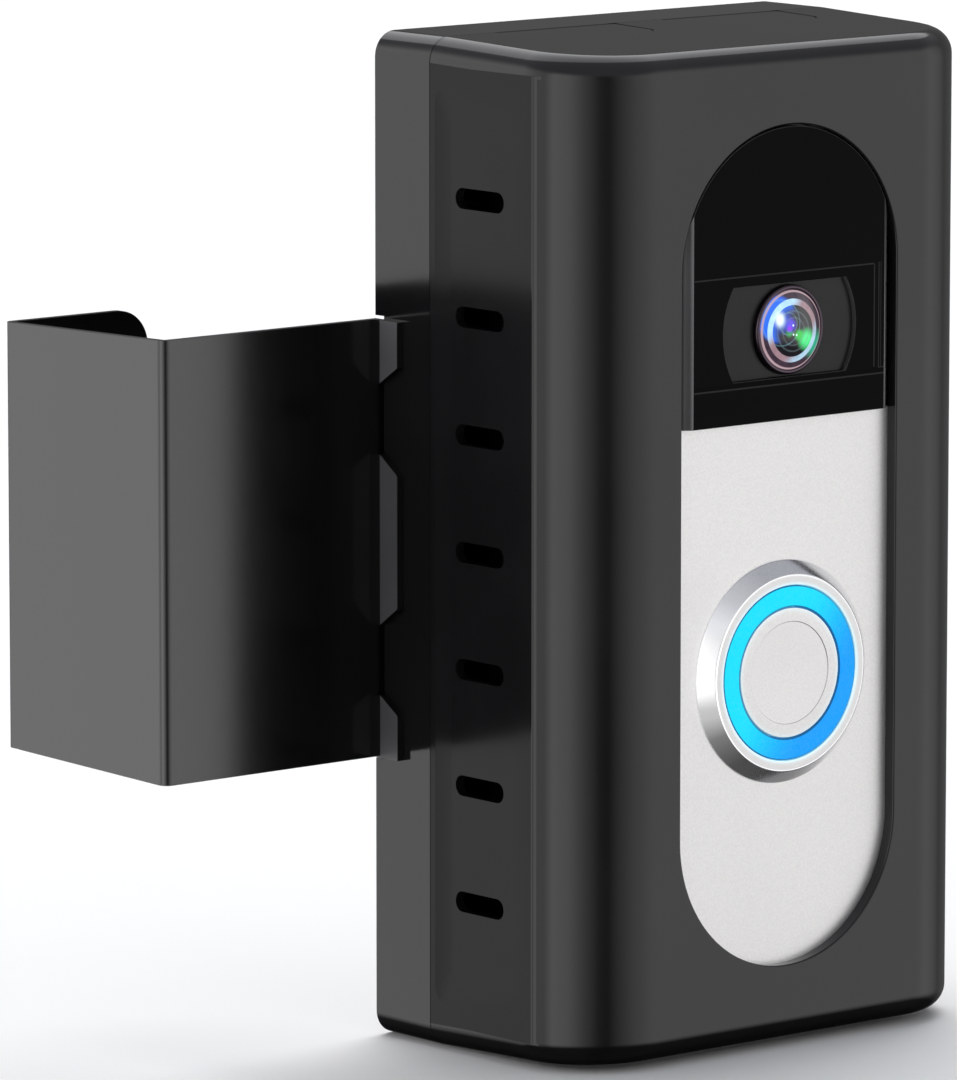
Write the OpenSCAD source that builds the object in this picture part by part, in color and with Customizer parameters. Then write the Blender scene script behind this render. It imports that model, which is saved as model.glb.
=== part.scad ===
// Video doorbell in an anti-theft housing that clips over the edge of a door.
// Millimetres. +Z is up, -Y faces the visitor, +X is to the visitor's right.
// The origin is the centre of the housing's back face, which lies against the door.
// "Depth" below always means the distance forward of that face, along -Y.

/* [Housing] */
// Width of the rear cover
housing_w = 80; // [76:1:90]
// Height of the rear cover
housing_h = 150; // [146:1:160]
// Depth of the whole housing, door face to front face
housing_d = 47; // [46.5:0.5:52]
// Width of the front face after the moulding draft
front_w = 78.9; // [75:0.1:80]
// Height of the front face after the moulding draft
front_h = 147.7; // [143:0.1:150]
// Radius of the two upright front corners
corner_r = 13.8; // [8:0.1:18]
// Radius along the top and bottom edges
edge_r = 3.7; // [2.5:0.1:5]
// Thickness of the moulded walls
wall = 1.8; // [1.5:0.1:1.8]
// Depth of the seam between the rear and front covers
seam_d = 12.5; // [11:0.5:14]
// Width of the pill-shaped window
window_w = 42; // [38:0.5:46]
// Height of the pill-shaped window
window_h = 124.7; // [118:0.1:126]

/* [Side slots] */
// Number of slots on each side
slot_count = 7; // [3:1:7]
// Distance from slot to slot
slot_pitch = 17.34; // [14:0.01:18]
// Length of a slot
slot_len = 10.9; // [8:0.1:12]
// Height of a slot
slot_h = 3.1; // [2.2:0.1:4]
// Depth of the slots' centre line
slot_d = 23.6; // [23:0.1:26]

/* [Interlocking tabs] */
// Distance from the middle to a tab's near side
tab_near = 4.6; // [3:0.1:8]
// Distance from the middle to a tab's far side
tab_far = 27.7; // [20:0.1:28]
// How far a tab reaches past the seam
tab_reach = 10.7; // [8:0.1:12]
// Gap between the covers
seam_gap = 0.15; // [0.1:0.05:0.2]

/* [Door bracket] */
// Thickness of the steel sheet
sheet = 1.2; // [1:0.1:1.2]
// Height of the bracket
bracket_h = 65.3; // [60:0.1:66]
// Distance from the middle of the housing to the bracket's outer face
bracket_x = 80.7; // [70:0.1:90]
// Clear gap that takes the door
door_gap = 35.85; // [34:0.05:46]
// Length of the inner leg, measured from the outer face
leg_len = 26; // [22:0.5:34]
// How much each edge tapers from the front plate to the leg
bracket_taper = 0.8; // [0:0.1:1.5]
// Depth that the side flanges reach
flange_d = 6.5; // [5:0.1:8]
// Height of each of the two tongues
tongue_h = 11.4; // [9:0.1:11.4]
// Height of a tongue's centre above or below the middle
tongue_z = 18; // [17:0.1:18.5]
// Distance of the clamp screws above and below the middle
clamp_z = 16; // [12:0.5:20]

/* [Doorbell] */
// Width of the doorbell
bell_w = 60; // [50:1:62]
// Height of the doorbell
bell_h = 126; // [126:0.5:127]
// Corner radius of the doorbell's outline
bell_r = 14; // [10:0.5:16]
// Width of the silver faceplate
faceplate_w = 52; // [46:0.5:52]
// Height of the faceplate's top edge above the middle
faceplate_top = 18.9; // [17:0.1:19]
// Width of the black camera panel
panel_w = 36.8; // [34:0.1:38]
// Height of the lens axis above the middle
lens_z = 32.2; // [31:0.1:34]
// Height of the button's axis above the middle
button_z = -18.6; // [-20:0.1:-17]
// Radius of the button bezel where it meets the faceplate
bezel_r = 16.6; // [16:0.1:17]
// Travel of the button
button_travel = 1; // [0.6:0.1:1.2]

/* [Hidden] */
$fn = 64;
HULL_FN = 32;
SKIN = 0.01;

back_wall = 3;
tab_t = wall + 0.35;
sheet_back = 0.1;
sheet_front = sheet_back + sheet;
bend_r = 1.4;
flange_x = housing_w / 2 + 0.05;
leg_y = door_gap - sheet_back;
clamp_x = 67;
clamp_r = 3;
clamp_len = 12;
run_gap = 0.05;

plate_d = 14;
plate_t = 2.5;
gasket_t = 0.8;
body_d = plate_d + plate_t + gasket_t;
face_d = housing_d - wall - 0.05;
faceplate_t = 1;
faceplate_r = 12;
body_front_d = face_d - faceplate_t;
body_wall = 2;
body_front_t = 1.6;
cavity_front_d = body_front_d - body_front_t;
board_d = 31;
board_t = 1.6;
board_front_d = board_d + board_t;
panel_d = housing_d - 0.2;
surround_d = panel_d - 0.7;
surround_r = 13;
surround_flat = 6.95;
barrel_r = 6.6;
lens_r = barrel_r - 0.7;
shoulder_w = window_w - 0.6;
shoulder_t = 1.9;
bezel_h = 2.15;
bezel_top_r = 14.5;
sleeve_r = 14.2;
ring_out_r = 12.95;
cap_r = 9.65;
mount_x = 20;
mount_z = 48;
cover_screw_x = 33;
cover_screw_d = 19;
lock_screw_d = 19.5;
speaker_d = 32;

// ---------- helpers ----------

// A box from one depth to another, between two X and two Z values.
module block(x, d, z) {
    translate([x[0], -d[1], z[0]])
        cube([x[1] - x[0], d[1] - d[0], z[1] - z[0]]);
}

// Extrudes an upright outline forward from a depth.
module forward(d, t) {
    translate([0, -d, 0]) rotate([90, 0, 0]) linear_extrude(t) children();
}

// A round bar or bore pointing forward.
module round_forward(x, z, d, t, r) {
    translate([x, -d, z]) rotate([90, 0, 0]) cylinder(h = t, r = r);
}

// A turned piece pointing forward, from points of radius and depth.
module turned(z, points) {
    translate([0, 0, z]) rotate([90, 0, 0]) rotate_extrude() polygon(points);
}

// A rectangle with round corners.
module rounded(w, h, r) {
    square([w - 2 * r, h], center = true);
    square([w, h - 2 * r], center = true);
    for (x = [-1, 1], z = [-1, 1])
        translate([x * (w / 2 - r), z * (h / 2 - r)]) circle(r);
}

// An upright pill.
module pill(w, h) {
    square([w, h - w], center = true);
    for (z = [-1, 1]) translate([0, z * (h - w) / 2]) circle(w / 2, $fn = 128);
}

// A disc with a flat at the top and one at the bottom.
module flatted_disc(r, flat) {
    intersection() {
        circle(r, $fn = 96);
        square([2 * r + 1, 2 * flat], center = true);
    }
}

// A pan-head screw whose head faces forward at depth d; the shank runs back.
module pan_screw(x, z, d, head_r, head_t, r, len) {
    difference() {
        round_forward(x, z, d, head_t, head_r);
        translate([x, -d - head_t + 0.9, z]) rotate([90, 0, 0]) cylinder(h = 2, r = head_r * 0.45, $fn = 6);
    }
    round_forward(x, z, d - len, len + SKIN, r);
}

// The front cover's outside, or the same form with every wall moved in.
module cover_form(inset, start_d) {
    r = edge_r - inset;
    hull() for (x = [-1, 1], z = [-1, 1]) {
        translate([x * (housing_w / 2 - edge_r), -start_d, z * (housing_h / 2 - edge_r)])
            rotate([90, 0, 0]) cylinder(h = SKIN, r = r, $fn = HULL_FN);
        translate([x * (front_w / 2 - corner_r), corner_r - housing_d, z * (front_h / 2 - edge_r)])
            rotate_extrude($fn = HULL_FN * 2) translate([corner_r - edge_r, 0]) circle(r, $fn = HULL_FN);
    }
}

// The four interlocking tabs' outline, seen from above, grown by a gap.
module tab_outlines(grow) {
    r = 3;
    w = tab_far - tab_near + 2 * grow;
    reach = tab_reach + grow;
    for (x = [-1, 1]) translate([x * (tab_near + tab_far) / 2, -seam_d]) {
        translate([-w / 2, -reach + r]) square([w, reach - r + 2]);
        translate([-w / 2 + r, -reach]) square([w - 2 * r, r + SKIN]);
        for (s = [-1, 1]) translate([s * (w / 2 - r), -reach + r]) circle(r);
    }
}

// ---------- mount ----------

module slot_cutters() {
    for (side = [-1, 1], i = [0:slot_count - 1])
        translate([side * housing_w / 2, -slot_d, (i - (slot_count - 1) / 2) * slot_pitch])
            rotate([0, 90, 0]) linear_extrude(12, center = true) {
                square([slot_h, slot_len - slot_h], center = true);
                for (s = [-1, 1]) translate([0, s * (slot_len - slot_h) / 2]) circle(slot_h / 2);
            }
}

// Shallow panel round the slots and the upright shadow line in front of it.
module side_relief() {
    relief = 0.35;
    for (side = [-1, 1]) {
        edge = side * (housing_w / 2 - 0.28);
        translate([edge, -slot_d - 0.6, 0]) rotate([0, 90, 0])
            linear_extrude(2 * relief, center = true) rounded(133, 15.6, 5);
        translate([side * (front_w / 2 + 0.1), -36.4, 0]) cube([1.1, 0.7, 137], center = true);
    }
}

module cover_screw_boss() {
    for (x = [-1, 1])
        block([x * cover_screw_x - 3.6, x * cover_screw_x + 3.6], [15.9, 22.5], [-73.4, -70.6]);
}

module front_cover() color([0.10, 0.10, 0.11]) {
    difference() {
        union() {
            difference() {
                cover_form(0, seam_d + seam_gap);
                cover_form(wall, seam_d - 0.5);
            }
            cover_screw_boss();
        }
        forward(housing_d - 4, 8) pill(window_w, window_h);
        slot_cutters();
        side_relief();
        for (z = [-1, 1]) translate([0, 0, z * housing_h / 2]) linear_extrude(6, center = true)
            tab_outlines(seam_gap);
        for (x = [-1, 1]) translate([x * cover_screw_x, -cover_screw_d, -housing_h / 2 - 1]) {
            cylinder(h = 3.1, r = 3.1);
            cylinder(h = 9, r = 1.7);
        }
    }
}

module rear_cover() color([0.15, 0.15, 0.16]) {
    lip_w = housing_w - 2 * wall - 0.5;
    lip_h = housing_h - 2 * wall - 0.5;
    difference() {
        union() {
            forward(0, back_wall) rounded(housing_w, housing_h, edge_r);
            forward(0, seam_d) difference() {
                rounded(housing_w, housing_h, edge_r);
                rounded(housing_w - 2 * wall, housing_h - 2 * wall, edge_r - wall);
            }
            forward(seam_d - 3, 6) difference() {
                rounded(lip_w, lip_h, edge_r - wall - 0.2);
                rounded(lip_w - 2.4, lip_h - 2.4, 1);
            }
            forward(seam_d - 3, 3) difference() {
                rounded(housing_w - 1, housing_h - 1, edge_r - 0.5);
                rounded(lip_w - 2.4, lip_h - 2.4, 1);
            }
            intersection() {
                cover_form(0, seam_d - 1);
                for (z = [-1, 1]) translate([0, 0, z * (housing_h / 2 - tab_t / 2 + 1)])
                    linear_extrude(tab_t + 2, center = true) tab_outlines(0);
            }
            for (x = [-1, 1], z = [-1, 1])
                round_forward(x * mount_x, z * mount_z, back_wall - 1, plate_d - back_wall + 1, 4.5);
            for (x = [-1, 1])
                block([x * cover_screw_x - 3.6, x * cover_screw_x + 3.6], [back_wall - 1, 22.5], [-70.3, -64.5]);
        }
        for (x = [-1, 1], z = [-1, 1]) round_forward(x * mount_x, z * mount_z, 5, 20, 1.85);
        for (x = [-1, 1])
            translate([x * cover_screw_x, -cover_screw_d, -71]) cylinder(h = 6.2, r = 2.35);
        bracket_recess();
        back_pad_pockets(0.8);
    }
}

// Notch in the side wall and two pockets in the back for the bracket's tongues.
module bracket_recess() {
    half = bracket_h / 2 + 0.45;
    block([-housing_w / 2 - 1, -housing_w / 2 + 2.1], [-1, 2], [-half, half]);
    for (z = [-1, 1]) {
        block([-housing_w / 2 - 1, -17], [-1, 1.5],
              [z * tongue_z - tongue_h / 2 - 0.3, z * tongue_z + tongue_h / 2 + 0.3]);
        round_forward(-27, z * tongue_z, -1, 6, 2.1);
    }
}

module back_pad_pockets(depth) {
    for (z = [-1, 1]) translate([0, 0, z * 56]) forward(0, depth) rounded(60, 22, 4);
}

module back_pads() color([0.07, 0.07, 0.07]) {
    for (z = [-1, 1]) translate([0, 0, z * 56]) forward(0, 0.75) rounded(59.6, 21.6, 3.8);
}

// One side flange: a bar with a slanted end wherever it stands free.
module flange(z_low, z_high, slant_low, slant_high) {
    slant = 2;
    translate([-flange_x, 0, 0]) rotate([0, -90, 0]) linear_extrude(sheet)
        polygon([
            [z_low, -sheet_back], [z_high, -sheet_back], [z_high, -2.5],
            [z_high - slant * slant_high, -flange_d], [z_low + slant * slant_low, -flange_d], [z_low, -2.5]
        ]);
}

// A quarter bend between two sheets at right angles, open towards +X.
module bend(y_centre, forward_side) {
    translate([-bracket_x + bend_r, y_centre, -bracket_h / 2]) intersection() {
        difference() {
            cylinder(h = bracket_h, r = bend_r);
            translate([0, 0, -1]) cylinder(h = bracket_h + 2, r = bend_r - sheet);
        }
        translate([-bend_r - 1, forward_side ? -bend_r - 1 : 0, 0]) cube([bend_r + 1, bend_r + 1, bracket_h]);
    }
}

module door_bracket() color([0.05, 0.05, 0.055]) {
    half = bracket_h / 2;
    rear_y = leg_y + sheet;
    front_y = -sheet_front;
    leg_half = half - bracket_taper;
    leg_r = 5.5;
    flange_in = tongue_z - tongue_h / 2 - 0.2;
    flange_out = tongue_z + tongue_h / 2 + 0.2;
    difference() {
        union() {
            intersection() {
                union() {
                    translate([-bracket_x + bend_r, front_y, -half])
                        cube([bracket_x - bend_r - flange_x, sheet, bracket_h]);
                    translate([-bracket_x, front_y + bend_r, -half])
                        cube([sheet, rear_y - front_y - 2 * bend_r, bracket_h]);
                    bend(front_y + bend_r, true);
                    bend(rear_y - bend_r, false);
                    translate([-bracket_x + bend_r, leg_y, -half])
                        cube([leg_len - bend_r, sheet, bracket_h]);
                }
                rotate([0, -90, 0]) linear_extrude(200, center = true)
                    polygon([[half, front_y - 1], [half, 1], [leg_half, leg_y], [leg_half, rear_y + 1],
                             [-leg_half, rear_y + 1], [-leg_half, leg_y], [-half, 1], [-half, front_y - 1]]);
            }
            for (z = [-1, 1]) translate([0, 0, z * tongue_z]) forward(sheet_back, sheet)
                translate([-30, 0]) {
                    square([24, tongue_h - 4], center = true);
                    translate([-1, 0]) square([22, tongue_h], center = true);
                    for (s = [-1, 1]) translate([10, s * (tongue_h / 2 - 2)]) circle(2);
                }
            flange(-flange_in, flange_in, 1, 1);
            flange(flange_out, half, 1, 0);
            flange(-half, -flange_out, 0, 1);
        }
        // Round the leg's two free corners.
        for (z = [-1, 1]) translate([-bracket_x + leg_len, leg_y - 1, z * leg_half]) difference() {
            translate([-leg_r, 0, -leg_r]) cube([2 * leg_r, sheet + 2, 2 * leg_r]);
            translate([-leg_r, -1, -z * leg_r]) rotate([-90, 0, 0]) cylinder(h = sheet + 4, r = leg_r);
            translate([-2 * leg_r, -1, -2 * leg_r]) cube([leg_r, sheet + 4, 4 * leg_r]);
            translate([-leg_r - 1, -1, z > 0 ? -3 * leg_r : leg_r]) cube([3 * leg_r, sheet + 4, 2 * leg_r]);
        }
        for (z = [-1, 1]) {
            round_forward(-27, z * tongue_z, -1, 4, 2.1);
            round_forward(-clamp_x, z * clamp_z, -leg_y - sheet - 1, sheet + 2, clamp_r + run_gap);
        }
    }
}

module bracket_screws() color([0.62, 0.62, 0.64]) {
    for (z = [-1, 1]) pan_screw(-27, z * tongue_z, back_wall, 3.8, 2.2, 2, back_wall - 0.2);
}

module edge_pad() color([0.09, 0.09, 0.09]) {
    inner = -bracket_x + sheet;
    block([inner, inner + 1], [-31, -5], [-28, 28]);
}

module leg_nuts() color([0.60, 0.60, 0.62]) {
    for (z = [-1, 1]) translate([-clamp_x, leg_y + sheet, z * clamp_z]) rotate([-90, 0, 0]) difference() {
        cylinder(h = 4, r = 5.8, $fn = 6);
        translate([0, 0, -1]) cylinder(h = 6, r = clamp_r + run_gap);
    }
}

// One hollow-ended clamp screw with a hexagon socket at the outer end.
module clamp_screw(z) {
    translate([-clamp_x, leg_y + 0.5, z]) rotate([-90, 0, 0]) difference() {
        rotate_extrude() polygon([[0, 0], [2.5, 0], [clamp_r, 0.5], [clamp_r, clamp_len - 0.5],
                                  [2.5, clamp_len], [0, clamp_len]]);
        translate([0, 0, -1]) cylinder(h = 4.4, r = 1.75);
        translate([0, 0, clamp_len - 3.5]) cylinder(h = 5, r = 1.75, $fn = 6);
    }
}

// The nylon tip that presses on the door and stays still while its screw turns.
module screw_tip(z) {
    translate([-clamp_x, leg_y, z]) rotate([-90, 0, 0]) rotate_extrude()
        polygon([[0, 0], [1.4, 0], [1.7, 0.3], [1.7, 3.6], [0, 3.6]]);
}

module clamp_screw_upper() color([0.55, 0.55, 0.57]) clamp_screw(clamp_z);
module clamp_screw_lower() color([0.55, 0.55, 0.57]) clamp_screw(-clamp_z);
module screw_tip_upper() color([0.92, 0.92, 0.88]) screw_tip(clamp_z);
module screw_tip_lower() color([0.92, 0.92, 0.88]) screw_tip(-clamp_z);

module cover_screws() color([0.35, 0.35, 0.37]) {
    for (x = [-1, 1]) translate([x * cover_screw_x, -cover_screw_d, 0]) difference() {
        union() {
            translate([0, 0, -74.5]) cylinder(h = 1.6, r = 2.9);
            translate([0, 0, -73]) cylinder(h = 7.3, r = 1.5);
        }
        translate([0, 0, -75]) cylinder(h = 1.4, r = 1.2, $fn = 6);
    }
}

module cover_inserts() color([0.75, 0.60, 0.30]) {
    for (x = [-1, 1]) translate([x * cover_screw_x, -cover_screw_d, -70.2]) difference() {
        cylinder(h = 5.2, r = 2.3);
        translate([0, 0, -1]) cylinder(h = 8, r = 1.6);
    }
}

module spacer_pads() color([0.12, 0.12, 0.12]) {
    for (z = [-1, 1]) translate([0, 0, z * 30]) forward(back_wall + 0.02, plate_d - back_wall - 0.04)
        rounded(34, 12, 2);
}

// ---------- doorbell body ----------

module bell_back_plate() color([0.08, 0.08, 0.085]) {
    difference() {
        union() {
            forward(plate_d, plate_t) rounded(bell_w, bell_h, bell_r);
            block([-4, 4], [plate_d + 1, 22.5], [-60.6, -56]);
        }
        for (x = [-1, 1], z = [-1, 1]) round_forward(x * mount_x, z * mount_z, plate_d - 1, 6, 1.85);
        for (x = [-1, 1]) round_forward(x * 8, 8, plate_d - 1, 6, 1.6);
        translate([0, -lock_screw_d, -62]) cylinder(h = 8, r = 1.35);
    }
}

module mount_screws() color([0.62, 0.62, 0.64]) {
    for (x = [-1, 1], z = [-1, 1])
        pan_screw(x * mount_x, z * mount_z, plate_d + plate_t, 3.3, 1.6, 1.75, 11);
}

module terminal_screws() color([0.75, 0.60, 0.30]) {
    for (x = [-1, 1]) {
        round_forward(x * 8, 8, plate_d - 2.2, 2.2, 3.2);
        round_forward(x * 8, 8, plate_d - 0.5, plate_t + 1.5, 1.5);
    }
}

module body_gasket() color([0.05, 0.05, 0.05]) {
    forward(plate_d + plate_t, gasket_t) difference() {
        rounded(bell_w - 0.6, bell_h - 0.6, bell_r - 0.3);
        rounded(bell_w - 2 * body_wall + 0.4, bell_h - 2 * body_wall + 0.4, bell_r - body_wall + 0.2);
    }
}

module bell_body() color([0.05, 0.05, 0.055]) {
    difference() {
        forward(body_d, body_front_d - body_d) rounded(bell_w, bell_h, bell_r);
        forward(body_d - 1, cavity_front_d - body_d + 1)
            rounded(bell_w - 2 * body_wall, bell_h - 2 * body_wall, bell_r - body_wall);
        round_forward(0, lens_z, cavity_front_d - 1, 4, barrel_r + 0.2);
        round_forward(0, button_z, cavity_front_d - 1, 4, sleeve_r + 0.05);
        translate([0, -lock_screw_d, -bell_h / 2 - 1]) cylinder(h = 4, r = 1.4);
        for (x = [-2, 0, 2]) block([x * 1.8 - 0.6, x * 1.8 + 0.6], [speaker_d - 4, speaker_d + 4],
                                   [-bell_h / 2 - 1, -bell_h / 2 + body_wall + 1]);
        translate([16, -board_front_d - 1.5, -bell_h / 2 - 1]) cylinder(h = 4, r = 0.8);
    }
}

module body_lock_screw() color([0.62, 0.62, 0.64]) {
    translate([0, -lock_screw_d, 0]) difference() {
        union() {
            translate([0, 0, -bell_h / 2 - 1.4]) cylinder(h = 1.4, r = 2.4);
            translate([0, 0, -bell_h / 2 - SKIN]) cylinder(h = 7, r = 1.25);
        }
        translate([0, 0, -bell_h / 2 - 2]) cylinder(h = 1.6, r = 1, $fn = 6);
    }
}

module faceplate() color([0.78, 0.78, 0.78]) {
    forward(body_front_d, faceplate_t) difference() {
        intersection() {
            rounded(faceplate_w, bell_h - 0.8, faceplate_r);
            translate([-50, -100]) square([100, 100 + faceplate_top]);
        }
        translate([0, button_z]) circle(sleeve_r + 0.05);
    }
}

// ---------- camera ----------

module camera_panel() color([0.02, 0.02, 0.022]) {
    front_t = 1.2;
    low = faceplate_top + 0.05;
    half_w = shoulder_w / 2;
    difference() {
        intersection() {
            forward(body_front_d, panel_d - body_front_d) panel_outline(half_w, 0, low);
            // The sides slope back from the flat window to the shoulders.
            linear_extrude(2 * window_h, center = true)
                polygon([[-half_w, 0], [half_w, 0], [half_w, shoulder_t - panel_d], [panel_w / 2, -panel_d],
                         [-panel_w / 2, -panel_d], [-half_w, shoulder_t - panel_d]]);
        }
        forward(body_front_d - 1, panel_d - body_front_d - front_t + 1)
            panel_outline(panel_w / 2 - front_t, front_t, low + front_t);
        translate([0, 0, lens_z]) forward(body_front_d - 1, 6) flatted_disc(surround_r, surround_flat);
    }
}

// The panel's outline: upright sides, a level lower edge and the window's arc.
module panel_outline(half_w, inset, low) {
    intersection() {
        pill(shoulder_w - 2 * inset, window_h - 0.6 - 2 * inset);
        translate([-half_w, low]) square([2 * half_w, window_h]);
    }
}

module lens_surround() color([0.06, 0.06, 0.062]) {
    difference() {
        translate([0, 0, lens_z]) forward(body_front_d, surround_d - body_front_d)
            flatted_disc(surround_r - 0.1, surround_flat - 0.1);
        round_forward(0, lens_z, body_front_d - 1, 6, barrel_r + 0.05);
    }
}

module lens_barrel() color([0.12, 0.12, 0.12]) {
    rim_d = surround_d + 0.9;
    step_d = surround_d - 0.6;
    inner_r = lens_r + 0.05;
    turned(lens_z, [[4.8, 38], [barrel_r, 38], [barrel_r, rim_d - 0.2], [barrel_r - 0.2, rim_d],
                    [inner_r, rim_d], [inner_r, step_d], [4.8, step_d]]);
}

module front_lens() color([0.30, 0.34, 0.45, 0.5]) {
    seat_d = surround_d - 0.55;
    rim_d = surround_d + 0.8;
    rise = 2;
    ball_r = (lens_r * lens_r + rise * rise) / (2 * rise);
    half_angle = asin(lens_r / ball_r);
    turned(lens_z, concat(
        [[0, seat_d], [lens_r, seat_d]],
        [for (i = [0:8]) let (a = half_angle * (1 - i / 8))
            [ball_r * sin(a), rim_d + rise - ball_r * (1 - cos(a))]]));
}

module inner_lens() color([0.30, 0.34, 0.45, 0.5]) {
    turned(lens_z, [[0, 42], [4.75, 42], [4.75, 43.2], [3.6, 44.1], [1.8, 44.6], [0, 44.75]]);
}

module lens_aperture() color([0.02, 0.02, 0.02]) {
    turned(lens_z, [[1.3, 41.2], [4.75, 40.6], [4.75, 41.9], [1.3, 41.6]]);
}

module lens_holder() color([0.05, 0.05, 0.05]) {
    difference() {
        block([-8, 8], [board_front_d, 38], [lens_z - 8, lens_z + 8]);
        round_forward(0, lens_z, board_front_d - 1, 8, 4.8);
        block([-5, 5], [board_front_d - 1, 34.4], [lens_z - 5, lens_z + 5]);
    }
}

module image_sensor() color([0.20, 0.16, 0.30]) {
    block([-4.2, 4.2], [board_front_d, 33.9], [lens_z - 3.4, lens_z + 3.4]);
}

module camera_board() color([0.05, 0.25, 0.12]) {
    forward(board_d, board_t) translate([0, 35.5]) rounded(44, 43, 3);
}

module infrared_leds() color([0.85, 0.85, 0.90]) {
    for (x = [-11, 0, 11], z = [-1, 1]) turned_led(x, lens_z + z * 12.5);
}

// A domed light-emitting diode standing on a board.
module turned_led(x, z) {
    translate([x, 0, z]) rotate([90, 0, 0]) rotate_extrude($fn = 32)
        polygon([[0, board_front_d], [1.7, board_front_d], [1.7, board_front_d + 0.6],
                 [1.4, board_front_d + 0.6], [1.4, board_front_d + 2.4], [1, board_front_d + 3.2],
                 [0, board_front_d + 3.5]]);
}

module motion_sensor() color([0.70, 0.70, 0.70]) {
    turned(52, [[0, board_front_d], [4.7, board_front_d], [4.7, board_front_d + 0.4], [4.2, board_front_d + 0.4],
                [4.2, board_front_d + 4.2], [0, board_front_d + 4.2]]);
}

// ---------- button ----------

module button_bezel() color([0.80, 0.80, 0.82]) {
    top = face_d + bezel_h;
    turned(button_z, [
        [ring_out_r + 0.3, cavity_front_d], [sleeve_r, cavity_front_d], [sleeve_r, face_d],
        [bezel_r, face_d], [bezel_r, face_d + 0.15], [bezel_top_r + 0.2, top - 0.15],
        [bezel_top_r - 0.1, top], [ring_out_r + 0.25, top], [ring_out_r + 0.05, top - 0.2],
        [ring_out_r + 0.05, face_d - 1], [ring_out_r + 0.3, face_d - 1]
    ]);
}

// Light ring: a lens flush with the bezel on a thin skirt that reaches the diodes.
module light_ring() color([0.05, 0.65, 0.95]) {
    top = face_d + bezel_h - 0.1;
    turned(button_z, [
        [11.4, board_front_d + 1.3], [12.4, board_front_d + 1.3], [12.4, face_d - 1.5],
        [ring_out_r, face_d - 1.2], [ring_out_r, top - 0.1], [ring_out_r - 0.1, top],
        [9.95, top], [9.85, top - 0.1], [9.85, face_d - 1.5], [11.4, face_d - 1.5]
    ]);
}

module button_cap() color([0.78, 0.78, 0.78]) {
    top = face_d + bezel_h - 0.15;
    turned(button_z, [
        [0, 38.3], [3, 38.3], [3, face_d - 2.9], [10.6, face_d - 2.9], [10.6, face_d - 1.8],
        [cap_r, face_d - 1.8], [cap_r, top - 0.15], [cap_r - 0.15, top], [7.7, top], [7.6, top - 0.1], [0, top - 0.25]
    ]);
}

// Points of the coil spring's wire, one ring of the tube at a time.
spring_turns = 5;
spring_steps = 18;
spring_r = 5;
wire_r = 0.35;
wire_sides = 8;
spring_back_d = board_front_d + wire_r + 0.05;
spring_front_d = face_d - 2.95 - wire_r;

function spring_ring(i) =
    let (n = spring_turns * spring_steps, a = 360 * i / spring_steps,
         d = spring_back_d + (spring_front_d - spring_back_d) * i / n)
    [for (k = [0:wire_sides - 1]) let (b = 360 * k / wire_sides, r = spring_r + wire_r * cos(b))
        [r * cos(a), -d + wire_r * sin(b), r * sin(a) + button_z]];

module button_spring() color([0.70, 0.70, 0.72]) {
    n = spring_turns * spring_steps;
    points = [for (i = [0:n]) each spring_ring(i)];
    polyhedron(points, concat(
        [[for (k = [0:wire_sides - 1]) k]],
        [for (i = [0:n - 1], k = [0:wire_sides - 1]) let (a = i * wire_sides, next = (k + 1) % wire_sides)
            [a + k, a + wire_sides + k, a + wire_sides + next, a + next]],
        [[for (k = [wire_sides - 1:-1:0]) n * wire_sides + k]]));
}

module button_switch() color([0.25, 0.25, 0.27]) {
    block([-3, 3], [board_front_d, board_front_d + 3.5], [button_z - 3, button_z + 3]);
    round_forward(0, button_z, board_front_d + 3.5 - SKIN, 0.8, 1.7);
}

module ring_leds() color([0.90, 0.90, 0.85]) {
    for (i = [0:7]) translate([0, 0, button_z]) rotate([0, i * 45, 0])
        block([-1, 1], [board_front_d, board_front_d + 1], [11.1, 12.7]);
}

// ---------- electronics ----------

module main_board() color([0.05, 0.25, 0.12]) {
    difference() {
        forward(board_d, board_t) translate([0, -19.5]) rounded(50, 62, 3);
        for (x = [-1, 1], z = [-45, 6]) round_forward(x * 22.5, z, board_d - 1, 4, 1.2);
    }
}

module processor() color([0.12, 0.12, 0.13]) {
    block([-16, -6], [board_front_d, board_front_d + 1.2], [-49, -39]);
    block([-14, -6], [board_front_d, board_front_d + 1], [0, 8]);
}

module radio_shield() color([0.72, 0.72, 0.73]) {
    forward(board_front_d, 2) translate([13, 2]) rounded(14, 12, 1);
}

module camera_flex() color([0.75, 0.45, 0.15]) {
    block([-6, 6], [board_d - 0.3, board_d], [6, 20]);
}

module microphone() color([0.75, 0.70, 0.55]) {
    block([14.2, 17.8], [board_front_d, board_front_d + 1.2], [-50, -45.5]);
}

module speaker() color([0.20, 0.20, 0.21]) {
    translate([0, -speaker_d, -bell_h / 2 + body_wall + 0.6]) rotate_extrude()
        polygon([[0, 0.6], [7, 0], [9, 0], [9, 4], [5.5, 4], [5.5, 5.4], [0, 5.4]]);
}

module speaker_gasket() color([0.06, 0.06, 0.06]) {
    translate([0, -speaker_d, -bell_h / 2 + body_wall]) difference() {
        cylinder(h = 0.6, r = 9);
        translate([0, 0, -1]) cylinder(h = 3, r = 7.2);
    }
}

module battery_pack() color([0.20, 0.30, 0.55]) {
    translate([0, 0, -2]) forward(18.4, 11) rounded(42, 78, 3);
}

module battery_lead() color([0.80, 0.10, 0.10]) {
    block([-3, 3], [29.4, 30.2], [-38, -34]);
    block([-3, 3], [30.2, board_d], [-38, -30]);
}

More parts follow.
